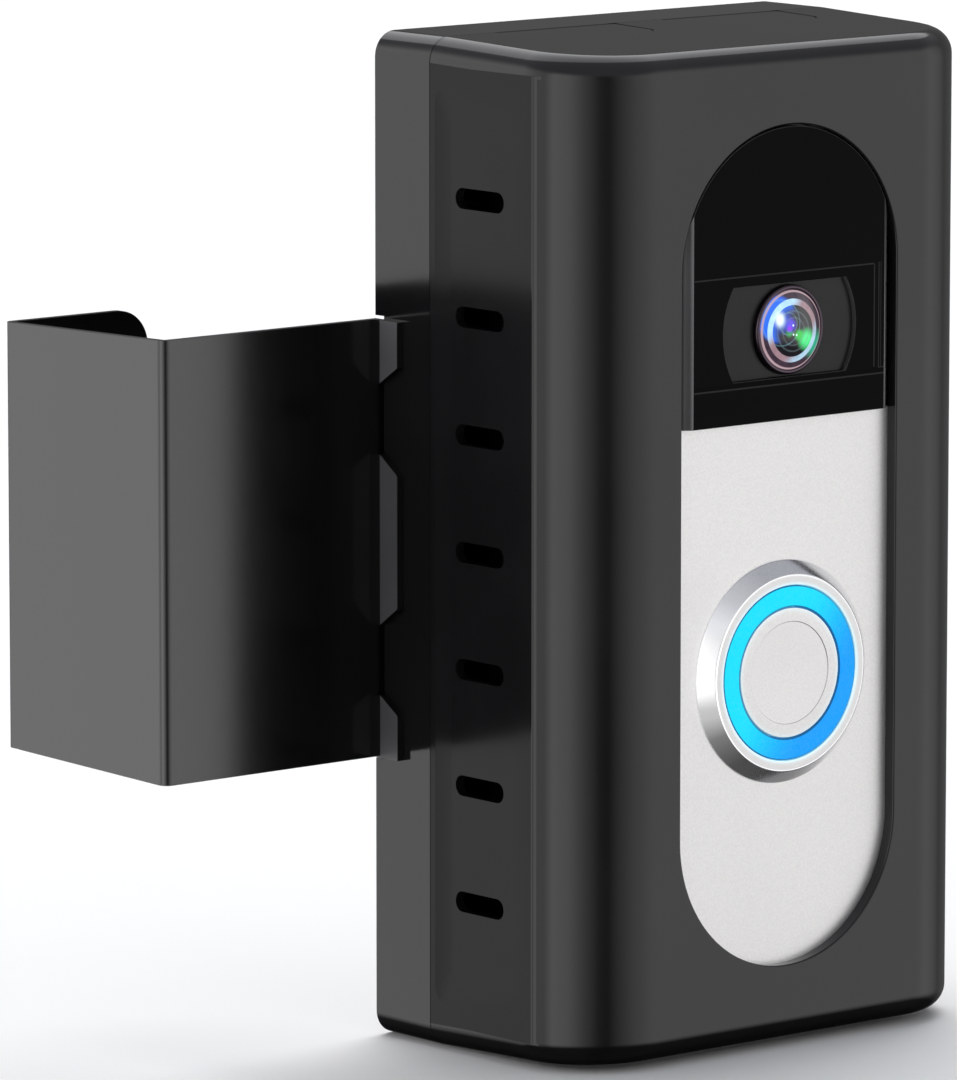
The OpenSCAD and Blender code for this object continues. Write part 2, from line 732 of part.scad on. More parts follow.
front_cover();
rear_cover();
back_pads();
door_bracket();
bracket_screws();
edge_pad();
leg_nuts();
clamp_screw_upper();
clamp_screw_lower();
screw_tip_upper();
screw_tip_lower();
cover_screws();
cover_inserts();
spacer_pads();
bell_back_plate();
mount_screws();
terminal_screws();
body_gasket();
bell_body();
body_lock_screw();
faceplate();
camera_panel();
lens_surround();
lens_barrel();
front_lens();
inner_lens();
lens_aperture();
lens_holder();
image_sensor();
camera_board();
infrared_leds();
motion_sensor();
button_bezel();
light_ring();
button_cap();
button_spring();
button_switch();
ring_leds();
main_board();
processor();
radio_shield();
camera_flex();
microphone();
speaker();
speaker_gasket();
battery_pack();
battery_lead();
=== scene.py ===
"""Video doorbell in a housing that clips over the edge of a door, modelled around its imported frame.

Blender works in metres; the sizes written here are millimetres. +Z is up, -Y faces the visitor,
and the origin is the centre of the housing's back face. A turned piece's profile gives radius
and distance forward of that face, along -Y.
"""

from collections import namedtuple
from math import cos, pi, radians, sin
from types import SimpleNamespace

import bmesh
import bpy
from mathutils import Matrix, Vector


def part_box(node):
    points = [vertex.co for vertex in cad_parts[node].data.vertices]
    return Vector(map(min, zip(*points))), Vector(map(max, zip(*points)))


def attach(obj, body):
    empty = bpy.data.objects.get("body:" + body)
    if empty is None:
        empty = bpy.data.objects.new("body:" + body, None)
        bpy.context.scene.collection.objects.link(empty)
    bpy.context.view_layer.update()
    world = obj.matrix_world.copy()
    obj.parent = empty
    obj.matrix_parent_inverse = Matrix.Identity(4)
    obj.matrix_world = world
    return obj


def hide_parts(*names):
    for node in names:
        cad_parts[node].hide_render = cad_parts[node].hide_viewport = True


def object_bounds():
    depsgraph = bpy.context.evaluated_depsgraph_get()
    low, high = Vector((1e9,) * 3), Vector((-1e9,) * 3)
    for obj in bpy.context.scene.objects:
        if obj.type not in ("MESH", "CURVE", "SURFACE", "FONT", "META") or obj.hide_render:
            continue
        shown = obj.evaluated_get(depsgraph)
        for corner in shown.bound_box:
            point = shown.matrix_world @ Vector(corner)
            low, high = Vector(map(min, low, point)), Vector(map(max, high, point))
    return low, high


bl_info = {
    "name": "Video doorbell and door housing",
    "version": (1, 0, 0),
    "blender": (4, 5, 0),
    "location": "View3D > Sidebar > Doorbell",
    "description": "Models a video doorbell, its moulded housing and its door bracket",
    "category": "Add Mesh",
}

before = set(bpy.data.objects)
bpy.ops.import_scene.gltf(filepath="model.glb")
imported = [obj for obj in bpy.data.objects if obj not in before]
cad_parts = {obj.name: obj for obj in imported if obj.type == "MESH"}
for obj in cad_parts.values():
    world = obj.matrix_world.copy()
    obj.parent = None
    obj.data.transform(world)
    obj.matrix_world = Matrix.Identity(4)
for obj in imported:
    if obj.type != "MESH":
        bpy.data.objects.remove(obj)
CAD_BOX = [list(corner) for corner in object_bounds()]

MM = 0.001
UPRIGHT = (0, 0, 1)


# ---------- places, in millimetres ----------

Corner = namedtuple("Corner", "x y z")


def box(node):
    """The lowest and the highest corner of a node's box."""
    return [Corner(*(distance / MM for distance in corner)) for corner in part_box(node)]


def mid_height(node):
    low, high = box(node)
    return (low.z + high.z) / 2


FRONT_LOW, FRONT_HIGH = box("front_cover")
REAR_HIGH = box("rear_cover")[1]
BRACKET_LOW, BRACKET_HIGH = box("door_bracket")
LENS_Z = mid_height("lens_barrel")
BUTTON_Z = mid_height("button_bezel")
LENS = (0, 0, LENS_Z)
BUTTON = (0, 0, BUTTON_Z)
COVER_SCREW = (33, -19, 0)
TONGUE_SCREW = (-27, 0, 18)
UPPER_CLAMP = (-67, 0, 16)


# ---------- settings ----------


def length(name, description, default):
    return bpy.props.FloatProperty(name=name, description=description, default=default * MM, unit="LENGTH")


def colour(name, description, default):
    return bpy.props.FloatVectorProperty(
        name=name, description=description, default=default, subtype="COLOR", size=3, min=0, max=1
    )


class DoorbellSizes(bpy.types.PropertyGroup):
    """Sizes of the pieces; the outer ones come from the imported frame."""

    corner: length("Corner", "Radius of the two upright front corners", 13.8)
    rim: length("Rim", "Radius along the top and bottom edges", 3.7)
    wall: length("Wall", "Thickness of the moulded walls", 1.8)
    front_width: length("Front width", "Width of the front face after the draft", 78.9)
    front_height: length("Front height", "Height of the front face after the draft", 147.7)
    window_width: length("Window width", "Width of the pill-shaped window", 42)
    window_height: length("Window height", "Height of the pill-shaped window", 124.7)
    slot_pitch: length("Slot pitch", "Distance from one side slot to the next", 17.34)
    slot_length: length("Slot length", "Length of a side slot", 10.9)
    slot_height: length("Slot height", "Height of a side slot", 3.07)
    slot_depth: length("Slot depth", "Depth of the side slots' centre line", 23.5)
    relief: length("Relief", "How deep the panel round the side slots is pressed in", 0.16)
    sheet: length("Sheet", "Thickness of the bracket's steel sheet", 1.2)
    bend: length("Bend", "Outer radius of the bracket's bends", 1.4)
    taper: length("Taper", "How much the bracket's edges taper towards the leg", 0.8)
    window_edge: length("Window edge", "Radius along the window's front edge", 0.3)
    slot_count: bpy.props.IntProperty(name="Slots", description="Slots on each side", default=7, min=1)


class DoorbellColours(bpy.types.PropertyGroup):
    """Colours of the finishes."""

    front_black: colour("Front cover", "Satin black of the front cover", (0.0065, 0.0065, 0.007))
    rear_black: colour("Rear cover", "Gloss black of the rear cover", (0.006, 0.006, 0.0065))
    bracket_black: colour("Bracket", "Gloss black paint of the bracket", (0.003, 0.003, 0.0033))
    silver: colour("Faceplate", "Fine metallic silver of the faceplate and button", (0.87, 0.86, 0.855))
    chrome: colour("Bezel", "Polished cone round the button", (0.93, 0.93, 0.95))
    panel_black: colour("Camera panel", "Dark window of the camera panel", (0.0018, 0.0018, 0.002))
    surround_black: colour("Lens surround", "Dark disc round the lens", (0.014, 0.014, 0.014))
    ring_cyan: colour("Ring, bright side", "Light ring where it is cyan", (0.0, 0.74, 0.96))
    ring_blue: colour("Ring, blue side", "Light ring where it is blue", (0.0, 0.33, 1.0))
    rubber: colour("Rubber", "Black rubber of the pads", (0.012, 0.012, 0.012))
    foam: colour("Foam", "Charcoal foam behind the doorbell", (0.03, 0.03, 0.032))
    steel: colour("Steel", "Zinc-plated steel of the screws and nuts", (0.55, 0.55, 0.57))


def sizes():
    """The sizes in millimetres, and the number of slots."""
    group = bpy.context.scene.doorbell_sizes
    values = {name: getattr(group, name) for name in group.__annotations__}
    return SimpleNamespace(**{k: v if isinstance(v, int) else v / MM for k, v in values.items()})


def colours():
    return bpy.context.scene.doorbell_colours


# ---------- shader maths ----------


def arithmetic(operation):
    """An operator's own form and its reflected form."""
    def own(self, other):
        return self.maths(operation, self, other)

    def reflected(self, other):
        return self.maths(operation, other, self)
    return own, reflected


class Value:
    """A shader socket that takes Python arithmetic; each operation adds one Math node."""

    def __init__(self, shader, socket):
        self.shader = shader
        self.socket = socket

    def maths(self, operation, *values):
        return self.shader.node("ShaderNodeMath", {"operation": operation}, dict(enumerate(values)))

    __add__, __radd__ = arithmetic("ADD")
    __sub__, __rsub__ = arithmetic("SUBTRACT")
    __mul__, __rmul__ = arithmetic("MULTIPLY")
    __truediv__, __rtruediv__ = arithmetic("DIVIDE")
    __pow__, __rpow__ = arithmetic("POWER")

    def wave(self):
        return self.maths("SINE", self)

    def size(self):
        return self.maths("ABSOLUTE", self)

    def step(self, low, high):
        """0 below low, 1 above high and a smooth rise between."""
        settings = {"interpolation_type": "SMOOTHSTEP"}
        return self.shader.node("ShaderNodeMapRange", settings, {0: self, 1: low, 2: high})

    def band(self, middle, half, soft):
        """1 within half of the middle, fading to 0 over the soft distance."""
        return 1 - (self - middle).size().step(half, half + soft)


SOCKETS = {
    "base": "Base Color", "rough": "Roughness", "metal": "Metallic", "gloss": "Specular IOR Level",
    "coat": "Coat Weight", "coat_rough": "Coat Roughness", "alpha": "Alpha", "normal": "Normal",
    "glow": "Emission Color", "glow_level": "Emission Strength",
}


class Shader:
    """A node tree, for a material or for the world."""

    def __init__(self, owner):
        owner.use_nodes = True
        self.owner = owner
        self.tree = owner.node_tree
        self.tree.nodes.clear()

    def node(self, kind, settings=None, values=None, output=0):
        """Adds a node: its settings are made first, then its inputs get their values or links."""
        node = self.tree.nodes.new(kind)
        for key, setting in (settings or {}).items():
            if key == "stops":
                self.set_stops(node.color_ramp, setting)
            else:
                setattr(node, key, setting)
        for key, value in (values or {}).items():
            if isinstance(value, Value):
                self.tree.links.new(value.socket, node.inputs[key])
            else:
                node.inputs[key].default_value = value
        return Value(self, node.outputs[output]) if node.outputs else node

    def set_stops(self, ramp, stops):
        """Gives a ramp its places and their grey levels."""
        while len(ramp.elements) < len(stops):
            ramp.elements.new(0.5)
        for element, (place, level) in zip(ramp.elements, stops):
            element.position = place
            element.color = (level, level, level, 1)

    def place(self):
        """X, Y and Z of the point being shaded, in millimetres."""
        coords = self.node("ShaderNodeTexCoord", output="Object")
        settings = {"operation": "SCALE"}
        scaled = self.node("ShaderNodeVectorMath", settings, {0: coords, "Scale": 1 / MM})
        return self.split(scaled)

    def split(self, vector):
        """The three parts of a vector."""
        return [self.node("ShaderNodeSeparateXYZ", values={0: vector}, output=n) for n in range(3)]

    def noise(self, size, detail, stretch=(1, 1, 1)):
        """Cloudy noise whose features are about this many millimetres across."""
        coords = self.node("ShaderNodeTexCoord", output="Object")
        turned = self.node("ShaderNodeMapping", values={0: coords, "Scale": stretch})
        values = {"Vector": turned, "Scale": 1 / (size * MM), "Detail": detail}
        return self.node("ShaderNodeTexNoise", values=values)

    def cells(self, size, feature="F1", output=0, randomness=1.0):
        coords = self.node("ShaderNodeTexCoord", output="Object")
        values = {"Vector": coords, "Scale": 1 / (size * MM), "Randomness": randomness}
        return self.node("ShaderNodeTexVoronoi", {"feature": feature}, values, output)

    def mix(self, amount, first, second, blend="MIX"):
        settings = {"data_type": "RGBA", "blend_type": blend}
        pair = [c if isinstance(c, Value) else (*c, 1) for c in (first, second)]
        return self.node("ShaderNodeMix", settings, {0: amount, 6: pair[0], 7: pair[1]}, 2)

    def bump(self, height, distance):
        """distance is how many millimetres the height of 1 stands for."""
        values = {"Strength": 1.0, "Distance": distance * MM, "Height": height}
        return self.node("ShaderNodeBump", values=values)

    def principled(self, **inputs):
        """Ends a material; each input goes to the surface's socket of that name."""
        values = {SOCKETS[name]: value for name, value in inputs.items()}
        surface = self.node("ShaderNodeBsdfPrincipled", values=values)
        self.node("ShaderNodeOutputMaterial", values={"Surface": surface})
        return self.owner


def shader(name):
    return Shader(bpy.data.materials.new(name))


def from_button(s):
    """Across, up and straight distances from the button's centre."""
    x, y, z = s.place()
    up = z - BUTTON_Z
    return x, up, (x ** 2 + up ** 2) ** 0.5


def shade(rgb, amount):
    return tuple(min(1.0, max(0.0, c * amount)) for c in rgb)


# ---------- finishes ----------

BLACK = (0.0, 0.0, 0.0)


def moulded(name, rgb, roughness, gloss, grain, depth):
    """Moulded or painted black: faint flow marks, a fine spark texture and light scuffing."""
    s = shader(name)
    clouds = s.noise(26, 3)
    sparks = s.noise(grain, 2)
    scuffs = s.noise(5, 4, (1, 1, 0.12)).step(0.62, 0.75)
    tint = s.mix(clouds.step(0.3, 0.7), shade(rgb, 0.82), shade(rgb, 1.22))
    base = s.mix(scuffs * 0.35, tint, shade(rgb, 1.9))
    rough = roughness + (clouds - 0.5) * 0.05 + (sparks - 0.5) * 0.04 + scuffs * 0.03
    return s.principled(base=base, rough=rough, gloss=gloss, normal=s.bump(sparks, depth))


def side_moulding(name, rgb, gloss):
    """The front cover's finish: satin all over, smoother on the pressed side panels."""
    s = shader(name)
    x, y, z = s.place()
    clouds = s.noise(26, 3)
    sparks = s.noise(0.3, 2)
    side = x.size().step(38.6, 39.2) * (0 - y).band(23.7, 11.1, 0.15)
    side = side * z.size().band(0, 71.0, 0.3)
    tint = s.mix(clouds.step(0.3, 0.7), shade(rgb, 0.85), shade(rgb, 1.2))
    rough = 0.11 + side * 0.06 + (clouds - 0.5) * 0.03 + (sparks - 0.5) * 0.03
    return s.principled(base=tint, rough=rough, gloss=gloss, normal=s.bump(sparks, 0.002))


def silver_paint(name, rgb, glow_edge=None):
    """Fine metallic silver; just inside an edge of this radius it glows in the light ring's colour, a painted
    spill of the ring's light.
    """
    s = shader(name)
    flakes = s.cells(0.24, output="Color")
    grains = s.noise(0.26, 3)
    clouds = s.noise(18, 2)
    base = s.mix(grains.step(0.25, 0.75), shade(rgb, 0.94), shade(rgb, 1.06))
    base = s.mix(0.06, base, flakes, "OVERLAY")
    lit = {}
    if glow_edge:
        # Painted light: the ring's light spilt onto the silver, glowing near its edge.
        painted_spill = from_button(s)[2].step(glow_edge - 1.5, glow_edge)
        lit = {"glow": s.mix(painted_spill * painted_spill, BLACK, (0.25, 0.80, 1.0)), "glow_level": 0.25}
    return s.principled(
        base=base, metal=0.82 + grains * 0.12, gloss=0.5, normal=s.bump(grains, 0.006),
        rough=0.44 + (clouds - 0.5) * 0.05 + (grains - 0.5) * 0.12, **lit,
    )


def polished(name, rgb, roughness):
    """Bright plated metal with fine turning marks and a few rubbed patches."""
    s = shader(name)
    marks = s.noise(0.25, 3)
    rubs = s.noise(3.5, 3).step(0.5, 0.8)
    base = s.mix(rubs * 0.4, rgb, shade(rgb, 0.86))
    return s.principled(
        base=base, metal=1.0,
        rough=roughness + (marks - 0.5) * 0.05 + rubs * 0.05, normal=s.bump(marks, 0.003),
    )


def cone_metal(name, rgb):
    """The bezel's finish: polished on the cone, silver on the flat rim, with a painted glow of light spilt by
    the ring and a painted highlight round the cone.
    """
    s = shader(name)
    x, height, away = from_button(s)
    rim = 1 - away.step(14.3, 14.5)
    grains = s.noise(0.42, 3)
    base = s.mix(rim, rgb, colours().silver)
    base = s.mix(0.5, base, s.mix(grains, shade(rgb, 0.86), (1.0, 1.0, 1.0)), "MULTIPLY")
    glow = 1 - away.step(13.0, 14.0)
    # Painted highlight: a glow set by the bearing round the button, brightest on the left and the upper left.
    bearing = height.maths("ARCTAN2", height, x) / (2 * pi) + 0.5
    levels = ((0.0, 0.6), (0.055, 0.5), (0.09, 0.18), (0.15, 0.04), (0.25, 0.03), (0.33, 0.06),
              (0.42, 0.0), (0.80, 0.0), (0.87, 0.18), (0.91, 0.42), (1.0, 0.6))
    painted_highlight = s.node("ShaderNodeValToRGB", {"stops": levels}, {0: bearing})
    # Painted light spilt by the ring, glowing from the bezel.
    painted_spill = s.mix(glow * glow, BLACK, (0.10, 0.34, 0.42))
    painted_spill_and_highlight = s.mix(1 - rim, painted_spill, painted_highlight)
    return s.principled(
        base=base, metal=0.98 - rim * 0.12,
        rough=0.15 + rim * 0.27 + (grains - 0.5) * 0.05,
        normal=s.bump(grains * (0.15 + rim), 0.01),
        glow=painted_spill_and_highlight, glow_level=1.0,
    )


def rubber(name, rgb):
    s = shader(name)
    pores = s.noise(0.4, 4)
    bloom = s.noise(9, 3).step(0.45, 0.8)
    base = s.mix(bloom * 0.6, rgb, shade(rgb, 2.2))
    return s.principled(base=base, rough=0.72 + (pores - 0.5) * 0.2, gloss=0.3, normal=s.bump(pores, 0.03))


def foam(name, rgb):
    s = shader(name)
    cells = s.cells(0.55, "DISTANCE_TO_EDGE")
    walls = 1 - cells.step(0.0, 0.16)
    lumps = s.noise(2.4, 3)
    # Painted shade: the pores are darker than the cell walls round them.
    base = s.mix(walls, shade(rgb, 0.55), shade(rgb, 1.7))
    return s.principled(
        base=base, rough=0.9 + (lumps - 0.5) * 0.1, gloss=0.15,
        normal=s.bump(walls * 0.6 + lumps * 0.4, 0.12),
    )


def glow_ring(name, bright, deep):
    """The light ring: cyan at the upper left, blue at the lower right, darker lines at its edges."""
    s = shader(name)
    x, height, away = from_button(s)
    across = (x * 0.80 - height * 0.60).step(-4.5, 9.0)
    hue = s.mix(across, bright, deep)
    edges = away.band(11.4, 1.36, 0.1)
    frost = s.noise(0.3, 2)
    lit = s.mix(edges, shade(deep, 0.28), hue)
    lit = s.mix((frost - 0.5) * 0.12 + 0.02, lit, (0.6, 0.95, 1.0))
    return s.principled(
        base=s.mix(0.8, lit, (0.0, 0.03, 0.05)), rough=0.32 + (frost - 0.5) * 0.06,
        gloss=0.1, glow=lit, glow_level=0.86,
        normal=s.bump(frost, 0.004),
    )


def lens_painted_reflections(name):
    """The front lens: painted reflections of its coatings and a painted image of the rings of the glasses
    behind, all glowing from the surface.
    """
    s = shader(name)
    x, y, z = s.place()
    x = x / 1.07
    up = (z - LENS_Z) / 1.07
    edge = (x ** 2 + up ** 2) ** 0.5
    x = x + 1.0 - edge * edge / 31
    away = (x ** 2 + up ** 2) ** 0.5
    swirl = s.noise(0.8, 3)

    def from_point(across, rise, squash=1.0):
        return ((x - across) ** 2 + ((up - rise) * squash) ** 2) ** 0.5

    def spot(across, rise, reach, soft, squash=1.0):
        return 1 - from_point(across, rise, squash).step(reach, reach + soft)

    # Every colour below glows from the lens: painted reflections of the coatings, the painted rings of the
    # glasses, a painted glare and painted glints.
    plum = s.mix(swirl, (0.022, 0.015, 0.024), (0.085, 0.052, 0.075))
    look = s.mix(edge.band(5.1, 0.9, 0.3) * 0.8, (0.010, 0.009, 0.012), plum)
    pale = s.mix((x - up).step(2.2, 5.2), (0.33, 0.21, 0.24), (0.42, 0.62, 0.78))
    pale = s.mix((up - x).step(1.5, 4.4), pale, (0.50, 0.78, 1.0))
    rings = away.band(2.75, 0.06, 0.12) * 0.35 + away.band(1.9, 0.05, 0.12) * 0.3
    # Painted highlight: a pale glare at the upper left.
    painted_glare = spot(-2.35, 1.75, 0.25, 1.25, 0.8)
    painted_light_layers = [
        (spot(-2.6, 1.7, 2.7, 0.8) * away.step(2.2, 3.9) * 0.95, (0.03, 0.16, 0.85)),
        (spot(-1.9, 1.5, 0.2, 2.0) * 0.9, (0.02, 0.10, 0.62)),
        (spot(4.5, -2.4, 0.5, 2.3) * away.step(3.9, 4.4) * 0.85, (0.03, 0.42, 0.26)),
        (spot(2.35, -1.25, 0.45, 1.5) * (1 - away.step(3.5, 4.0)), (0.04, 0.72, 0.20)),
        (spot(0.95, -0.55, 0.3, 0.75) * 0.9, (0.02, 0.50, 0.05)),
        (spot(-0.75, -0.15, 0.2, 0.6), (0.01, 0.26, 0.03)),
        (spot(-0.55, 0.95, 0.3, 1.0) * 0.85, (0.10, 0.06, 0.75)),
        (spot(-0.75, 0.40, 0.1, 0.5), (0.25, 0.02, 0.85)),
        (rings * (0.4 + swirl), (0.14, 0.19, 0.20)),
        (from_point(-2.0, 1.2).band(3.1, 0.03, 0.12) * (swirl * 0.7), (0.16, 0.34, 0.42)),
        (from_point(-0.9, 1.1).band(1.5, 0.03, 0.12) * (swirl * 0.7), (0.16, 0.34, 0.42)),
        (away.band(3.97, 0.36, 0.1) * (0.6 + swirl * 0.5), pale),
        (edge.band(5.32, 0.07, 0.12) * 0.85, (0.47, 0.33, 0.36)),
        (painted_glare * painted_glare, (0.82, 0.96, 1.0)),
    ]
    # Painted glints: three small pale dots.
    painted_glints = ((-0.1, 0.85), (-0.05, -0.42), (0.5, -0.5))
    painted_light_layers += [(spot(across, rise, 0.06, 0.14), (0.75, 0.95, 0.9)) for across, rise in painted_glints]
    for amount, tint in painted_light_layers:
        look = s.mix(amount, look, tint)
    return s.principled(
        base=s.mix(0.6, look, BLACK), rough=0.06 + swirl * 0.02, gloss=0.45, coat=0.6, coat_rough=0.02,
        glow=look, glow_level=1.0,
    )


def panel_window(name, rgb):
    """The camera panel's dark window, with the thin lines of the frame behind it."""
    s = shader(name)
    x, y, z = s.place()
    haze = s.noise(14, 3)
    line = z.band(40.67, 0.06, 0.1) * x.band(-1.0, 17.5, 0.1)
    line = line + x.band(16.7, 0.06, 0.1) * z.band(33.0, 7.6, 0.1)
    line = line + (x.band(17.6, 0.05, 0.08) + x.band(18.0, 0.04, 0.08) * 0.7) * z.band(33.0, 7.8, 0.1)
    line = line + z.band(24.3, 0.07, 0.1) + z.band(25.2, 0.05, 0.08) * x.step(17.5, 17.8) * 0.8
    shadow = z.band(24.75, 0.3, 0.1) + (z - x * 0.02).band(22.5, 1.6, 0.3) * 0.2
    base = s.mix(haze, shade(rgb, 0.8), shade(rgb, 1.25))
    base = s.mix(shadow * 0.6, base, (0.0004, 0.0004, 0.0004))
    base = s.mix(line.maths("MINIMUM", line, 1.0) * 0.9, base, (0.030, 0.030, 0.031))
    return s.principled(base=base, rough=0.09 + haze * 0.03, gloss=0.032, normal=s.bump(haze, 0.004))


def circuit_board(name):
    s = shader(name)
    x, y, z = s.place()
    cells = s.cells(2.6, "DISTANCE_TO_EDGE", randomness=0.8)
    tracks = 1 - cells.step(0.04, 0.09)
    pads = (x * (2 * pi / 3.2)).wave() * (z * (2 * pi / 3.2)).wave()
    pads = pads.step(0.86, 0.9)
    mask = s.noise(6, 3)
    base = s.mix(mask, (0.004, 0.055, 0.022), (0.008, 0.085, 0.035))
    base = s.mix(tracks * 0.8, base, (0.03, 0.17, 0.07))
    base = s.mix(pads, base, (0.60, 0.47, 0.20))
    return s.principled(
        base=base, rough=0.34 - pads * 0.1 + (mask - 0.5) * 0.1, metal=pads * 0.9,
        normal=s.bump(tracks + pads, 0.03),
    )


def chip(name, rgb, roughness=0.5, metallic=0.0):
    """A moulded package or a can: matt grain and faint cloudy mould marks."""
    s = shader(name)
    grain = s.noise(0.3, 4)
    clouds = s.noise(4, 3)
    base = s.mix(clouds, shade(rgb, 0.8), shade(rgb, 1.2))
    return s.principled(
        base=base, rough=roughness + (grain - 0.5) * 0.18, metal=metallic,
        normal=s.bump(grain * 0.6 + clouds * 0.4, 0.015),
    )


def knurled_brass(name):
    s = shader(name)
    x, y, z = s.place()
    ridges = ((x + z) * 9).wave() * ((z - x) * 9).wave()
    tarnish = s.noise(1.6, 4)
    base = s.mix(tarnish, (0.50, 0.33, 0.11), (0.72, 0.53, 0.24))
    return s.principled(base=base, metal=1.0, rough=0.3 + tarnish * 0.15, normal=s.bump(ridges, 0.06))


def striped(name, first, second, pitch, metallic=0.0, roughness=0.35):
    """Ribbon cable or wrapped cell: even stripes across the piece, under a slightly uneven film."""
    s = shader(name)
    x, y, z = s.place()
    stripes = (x * (2 * pi / pitch)).wave().step(-0.2, 0.2)
    film = s.noise(2.2, 3)
    base = s.mix(stripes, first, second)
    base = s.mix(film * 0.25, base, shade(first, 0.5))
    return s.principled(
        base=base, metal=stripes * metallic, rough=roughness + (film - 0.5) * 0.15,
        normal=s.bump(stripes * 0.5 + film * 0.5, 0.03),
    )


def clear_part(name, tint, alpha):
    """Clear or smoked moulding seen at its edges."""
    s = shader(name)
    swirl = s.noise(1.2, 3)
    base = s.mix(swirl, shade(tint, 0.8), shade(tint, 1.15))
    return s.principled(
        base=base, rough=0.06 + swirl * 0.08, alpha=alpha, coat=0.5, normal=s.bump(swirl, 0.01),
    )


# ---------- modelling helpers, which take millimetres ----------


def metres(point):
    return Vector([distance * MM for distance in point])


def alone(*pieces):
    """Deselects everything, then selects these pieces; the last is the active one."""
    if bpy.context.mode != "OBJECT":
        bpy.ops.object.mode_set(mode="OBJECT")
    bpy.ops.object.select_all(action="DESELECT")
    for piece in pieces:
        piece.select_set(True)
        bpy.context.view_layer.objects.active = piece


def settled(name):
    """Names the primitive just added and puts its place into its mesh."""
    piece = bpy.context.active_object
    piece.name = piece.data.name = name
    bpy.ops.object.transform_apply(location=True, rotation=True, scale=True)
    return piece


def block(name, low, high):
    low, high = metres(low), metres(high)
    alone()
    bpy.ops.mesh.primitive_cube_add(size=1, location=(low + high) / 2, scale=high - low)
    return settled(name)


def hexagon(name, radius, depth, at, turn=pi / 2):
    """A six-sided bar centred on a point; it lies along Y unless its turn is 0."""
    alone()
    bpy.ops.mesh.primitive_cylinder_add(vertices=6, radius=radius * MM, depth=depth * MM,
                                        location=metres(at), rotation=(turn, 0, 0))
    return settled(name)


def shape(piece):
    alone(piece)
    bpy.ops.object.mode_set(mode="EDIT")


def done():
    bpy.ops.object.mode_set(mode="OBJECT")


def pick_all():
    bpy.ops.mesh.select_all(action="SELECT")


def pick(kind, test):
    """Selects the points, edges or faces of the mesh in edit mode that pass the test."""
    bpy.ops.mesh.select_mode(type=kind)
    bpy.ops.mesh.select_all(action="DESELECT")
    mesh = bmesh.from_edit_mesh(bpy.context.active_object.data)
    mesh.normal_update()
    for part in {"VERT": mesh.verts, "EDGE": mesh.edges, "FACE": mesh.faces}[kind]:
        if test(part):
            part.select_set(True)
    bmesh.update_edit_mesh(bpy.context.active_object.data)


def facing(axis, sign):
    return lambda face: face.normal[axis] * sign > 0.9


def along(axis, other=None, limit=0):
    """Passes the edges that run along an axis and lie below a limit on another axis."""
    def test(edge):
        start = edge.verts[0].co
        line = edge.verts[1].co - start
        return abs(line[axis]) > 0.999 * line.length and (other is None or start[other] < limit * MM)
    return test


def bevel(width, segments, profile=0.5):
    bpy.ops.mesh.bevel(offset=width * MM, segments=segments, profile=profile, affect="EDGES",
                       clamp_overlap=False)


def push(way):
    bpy.ops.mesh.extrude_region_move(TRANSFORM_OT_translate={"value": metres(way)})


def shift(way):
    bpy.ops.transform.translate(value=metres(way))


def stretch(scale, centre=(0, 0, 0)):
    bpy.ops.transform.resize(value=scale, center_override=metres(centre))


def slab(name, low, high, radius, axis=1, segments=10):
    """A block whose four edges along one axis are rounded."""
    piece = block(name, low, high)
    shape(piece)
    pick("EDGE", along(axis))
    bevel(radius, segments)
    done()
    return piece


def pill(name, half_w, half_h, front, back):
    """The window's outline: an upright slab whose ends are half circles."""
    return slab(name, (-half_w, front, -half_h), (half_w, back, half_h), half_w * 0.998, segments=40)


def started(name, spot):
    """Starts a piece as a single point and leaves it open in edit mode."""
    alone()
    bpy.ops.mesh.primitive_plane_add(size=MM, location=spot)
    piece = settled(name)
    shape(piece)
    bpy.ops.mesh.select_mode(type="VERT")
    pick_all()
    bpy.ops.mesh.merge(type="CENTER")
    return piece


def draw_on(way):
    bpy.ops.mesh.extrude_vertices_move(TRANSFORM_OT_translate={"value": way})


def turned(name, points, at, axis=(0, 1, 0), steps=96):
    """Spins a profile of radius and distance round an axis through a point; it runs along -Y or +Z."""
    at = Vector(at)
    spots = [at + Vector((radius, -far, 0) if axis[1] else (radius, 0, far)) for radius, far in points]
    piece = started(name, spots[0])
    for here, there in zip(spots, spots[1:]):
        draw_on(there - here)
    pick_all()
    bpy.ops.mesh.remove_doubles(threshold=1e-6)
    pick_all()
    bpy.ops.mesh.spin(steps=steps, angle=2 * pi, center=at, axis=axis)
    pick_all()
    bpy.ops.mesh.remove_doubles(threshold=1e-6)
    pick_all()
    bpy.ops.mesh.normals_make_consistent(inside=False)
    done()
    piece.scale = (MM, MM, MM)
    return settled(name)


def bore(radius, near, far, at, steps, axis=(0, 1, 0)):
    """A round cutter between two distances."""
    return turned("bore", [(0, near), (radius, near), (radius, far), (0, far)], at, axis, steps)


def applied(piece, kind, **settings):
    """Adds a modifier and applies it."""
    alone(piece)
    modifier = piece.modifiers.new(kind.title(), kind)
    for key, value in settings.items():
        setattr(modifier, key, value)
    bpy.ops.object.modifier_apply(modifier=modifier.name)


def joined(*pieces):
    alone(*pieces)
    bpy.ops.object.join()
    return bpy.context.active_object


def combined(piece, tool, operation="DIFFERENCE"):
    """Cuts a tool out of a piece, unites the two or keeps what they share, and removes the tool."""
    applied(piece, "BOOLEAN", operation=operation, solver="EXACT", object=tool)
    alone(tool)
    bpy.ops.object.delete()
    return piece


def copied(piece, way):
    alone(piece)
    bpy.ops.object.duplicate(linked=False)
    shift(way)
    bpy.ops.object.transform_apply(location=True, rotation=True, scale=True)
    return bpy.context.active_object


